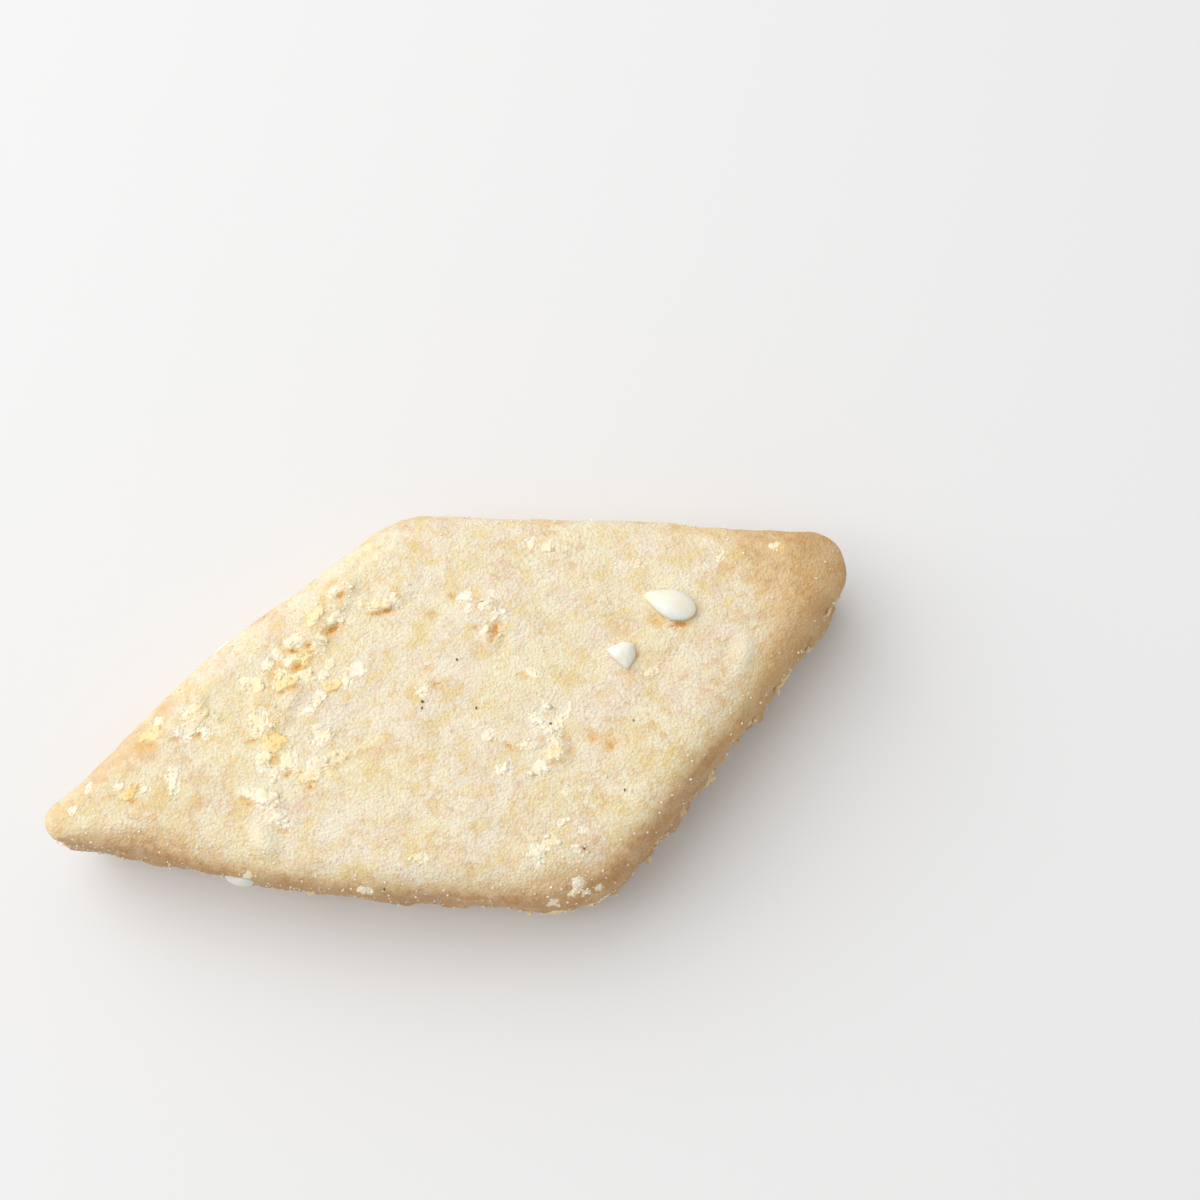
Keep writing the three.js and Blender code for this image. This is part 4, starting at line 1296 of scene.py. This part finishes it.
def side_crumbs():
    """Broken bits on the torn sides, fewer towards the face and on the smoother side."""
    low_sides = skin_traits["torn"] * (0.1 + smoothstep(0, 0.6, lumps(skin, 2.2, 73)))
    low_sides *= 1 - 0.85 * skin_traits["calm"]
    weights = low_sides * smoothstep(7.5, 3, skin[:, 2])
    places, normals = skin_places(crumb_draw, weights, SIDE_CRUMBS)
    sizes = crumb_draw.uniform(0.35, 1, SIDE_CRUMBS) ** 3 * 0.8
    points, faces = scatter(crumb_draw, chips, chip_faces, places, normals, sizes,
                            sink=0.5, least_stretch=0.5)
    return points, faces, golden_dough, {"toast_and_shade": crumb_draw.uniform(0.0, 0.9, SIDE_CRUMBS)}


bits_piece("side_crumbs", *side_crumbs())

nib_points, nib_faces = nibs()
nib_toast = 0.1 + 0.5 * smoothstep(8, 2, nib_points[:, 2])
bits_piece("dough_nibs", nib_points, nib_faces, golden_dough, {"toast_and_shade": nib_toast})

# %% [markdown]
# ## Sugar grains and specks
# Undissolved sugar stays on the skin as tiny white crystals that catch the light, and a few bits
# of bran or scorched flour show as dark specks. Both are small angular grains, flat shaded, so
# each face of a crystal glints by itself.

# %% Sugar grains and dark specks
SUGAR_GRAINS = 2000
SUGARED_CORNER = (3.4, -11.8)
DARK_SPECKS = (
    (0.9, 2.65), (-1.95, 0.85), (-2.1, 0.5), (1.0, -0.6), (9.7, -4.7), (4.2, -10.9), (-7.8, -8.9),
    (7.7, -8.45), (4.9, -3.1),
)


def grain_material(name, colour, roughness, glow_through):
    """A tiny hard grain, slightly different in tone from its neighbours."""
    material, tree, shader = new_material(name)
    darker = tuple(0.8 * part for part in colour)
    tone = noise(tree, millimetres(tree), 0.8, 1)
    fill(tree, shader, {
        "Base Color": blend(tree, tone, (*colour, 1), (*darker, 1)), "Roughness": roughness,
        "Subsurface Weight": glow_through, "Subsurface Scale": 0.2 * MM,
    })
    return material


grain_draw = np.random.default_rng(9)
crystals, crystal_faces = crumb_shapes(grain_draw, 8, 1, cuts=4)


def grains_piece(name, places, normals, least, most, material):
    """Hard grains from the least to the most size, half sunk into the skin at the places."""
    sizes = grain_draw.uniform(least, most, len(places))
    points, faces = scatter(grain_draw, crystals, crystal_faces, places, normals, sizes, sink=0.3)
    bits_piece(name, points, faces, material, {}).data.shade_flat()


away_from_corner = np.linalg.norm(skin[:, :2] - SUGARED_CORNER, axis=1)
on_rim = smoothstep(0.75, 0.95, skin_traits["reach"]) * (0.3 + 0.5 * skin_traits["calm"])
where_sugar = 0.09 + on_rim + 1.5 * smoothstep(2.2, 0.4, away_from_corner)
where_sugar = where_sugar * (skin_traits["base"] == 0) + 0.7 * skin_traits["torn"]
sugar = grain_material("sugar", (0.96, 0.92, 0.81), 0.35, 0.3)
grains_piece("sugar_grains", *skin_places(grain_draw, where_sugar, SUGAR_GRAINS), 0.07, 0.19, sugar)

speck_places = np.array([(x, y, face_height(x, y)) for x, y in DARK_SPECKS])
speck_normals = np.tile(UPWARD, (len(speck_places), 1))
scorched = grain_material("scorched_flour", (0.16, 0.1, 0.06), 0.6, 0.1)
grains_piece("dark_specks", speck_places, speck_normals, 0.13, 0.22, scorched)

# %% [markdown]
# ## Floor, light and camera
# The cookie lies on a plain pale floor. One large soft lamp stands behind it and to the left,
# wide enough that crumbs cast no hard shadows, and a pale surrounding light fills in the rest.
# The camera looks down steeply, close by, as a photograph of something this small is taken.
# Sizes are in metres here; only the camera's place and its lens are in millimetres.

# %% Floor
FLOOR_HALF = 0.6


def floor_piece():
    """A plain square under the cookie."""
    shape = bmesh.new()
    bmesh.ops.create_grid(shape, x_segments=8, y_segments=8, size=FLOOR_HALF)
    mesh = bpy.data.meshes.new("floor")
    shape.to_mesh(mesh)
    shape.free()
    floor = bpy.data.objects.new("floor", mesh)
    bpy.context.scene.collection.objects.link(floor)
    material, tree, shader = new_material("pale_floor")
    fill(tree, shader, {"Base Color": (0.79, 0.8, 0.82, 1), "Roughness": 0.8})
    mesh.materials.append(material)
    return floor


floor_piece()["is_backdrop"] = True

# %% Light
LAMP_FROM = Vector((-0.5, 0.5, 0.85)).normalized()
LAMP_DISTANCE = 0.5
SURROUND = {"Color": (1.0, 0.99, 0.97, 1), "Strength": 0.55}

lamp = bpy.data.lights.new("window_light", "AREA")
lamp.size, lamp.energy, lamp.color = 0.7, 2.9, (1.0, 0.98, 0.95)
lamp_holder = bpy.data.objects.new("window_light", lamp)
lamp_holder.location = LAMP_FROM * LAMP_DISTANCE
lamp_holder.rotation_euler = LAMP_FROM.to_track_quat("Z", "Y").to_euler()
bpy.context.scene.collection.objects.link(lamp_holder)

studio = bpy.data.worlds.new("studio")
studio.use_nodes = True
fill(studio.node_tree, studio.node_tree.nodes["Background"].inputs, SURROUND)
bpy.context.scene.world = studio
bpy.context.scene.view_settings.view_transform = "Standard"
print("lamp:", round(lamp.energy, 1), "watts,", LAMP_DISTANCE, "m away")

# %% Camera
CAMERA_PLACE = Vector((0.481, -23.540, 108.081))
CAMERA_TURN, CAMERA_DROP = math.radians(20.5), math.radians(74)

camera = bpy.data.objects.new("camera", bpy.data.cameras.new("camera"))
camera.data.lens = 50
camera.data.clip_start, camera.data.clip_end = 0.001, 10
ahead = Vector((math.sin(CAMERA_TURN) * math.cos(CAMERA_DROP),
                math.cos(CAMERA_TURN) * math.cos(CAMERA_DROP), -math.sin(CAMERA_DROP)))
rightwards = Vector((math.cos(CAMERA_TURN), -math.sin(CAMERA_TURN), 0))
axes = Matrix((rightwards, rightwards.cross(ahead), -ahead)).transposed()
camera.matrix_world = Matrix.Translation(CAMERA_PLACE * MM) @ axes.to_4x4()
bpy.context.scene.collection.objects.link(camera)
bpy.context.scene.camera = camera
print("camera, mm from the middle of the base:", round(CAMERA_PLACE.length, 1))

# %% [markdown]
# The dressed cookie's box and the solid's box are printed side by side. The dressed cookie
# has to keep to the solid's box.

dressed_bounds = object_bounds()
sizes = {
    "solid": [list(corner) for corner in solid_bounds],
    "dressed": [list(corner) for corner in dressed_bounds],
}
for name, corners in sizes.items():
    print(name, [[round(1000 * value, 2) for value in corner] for corner in corners])
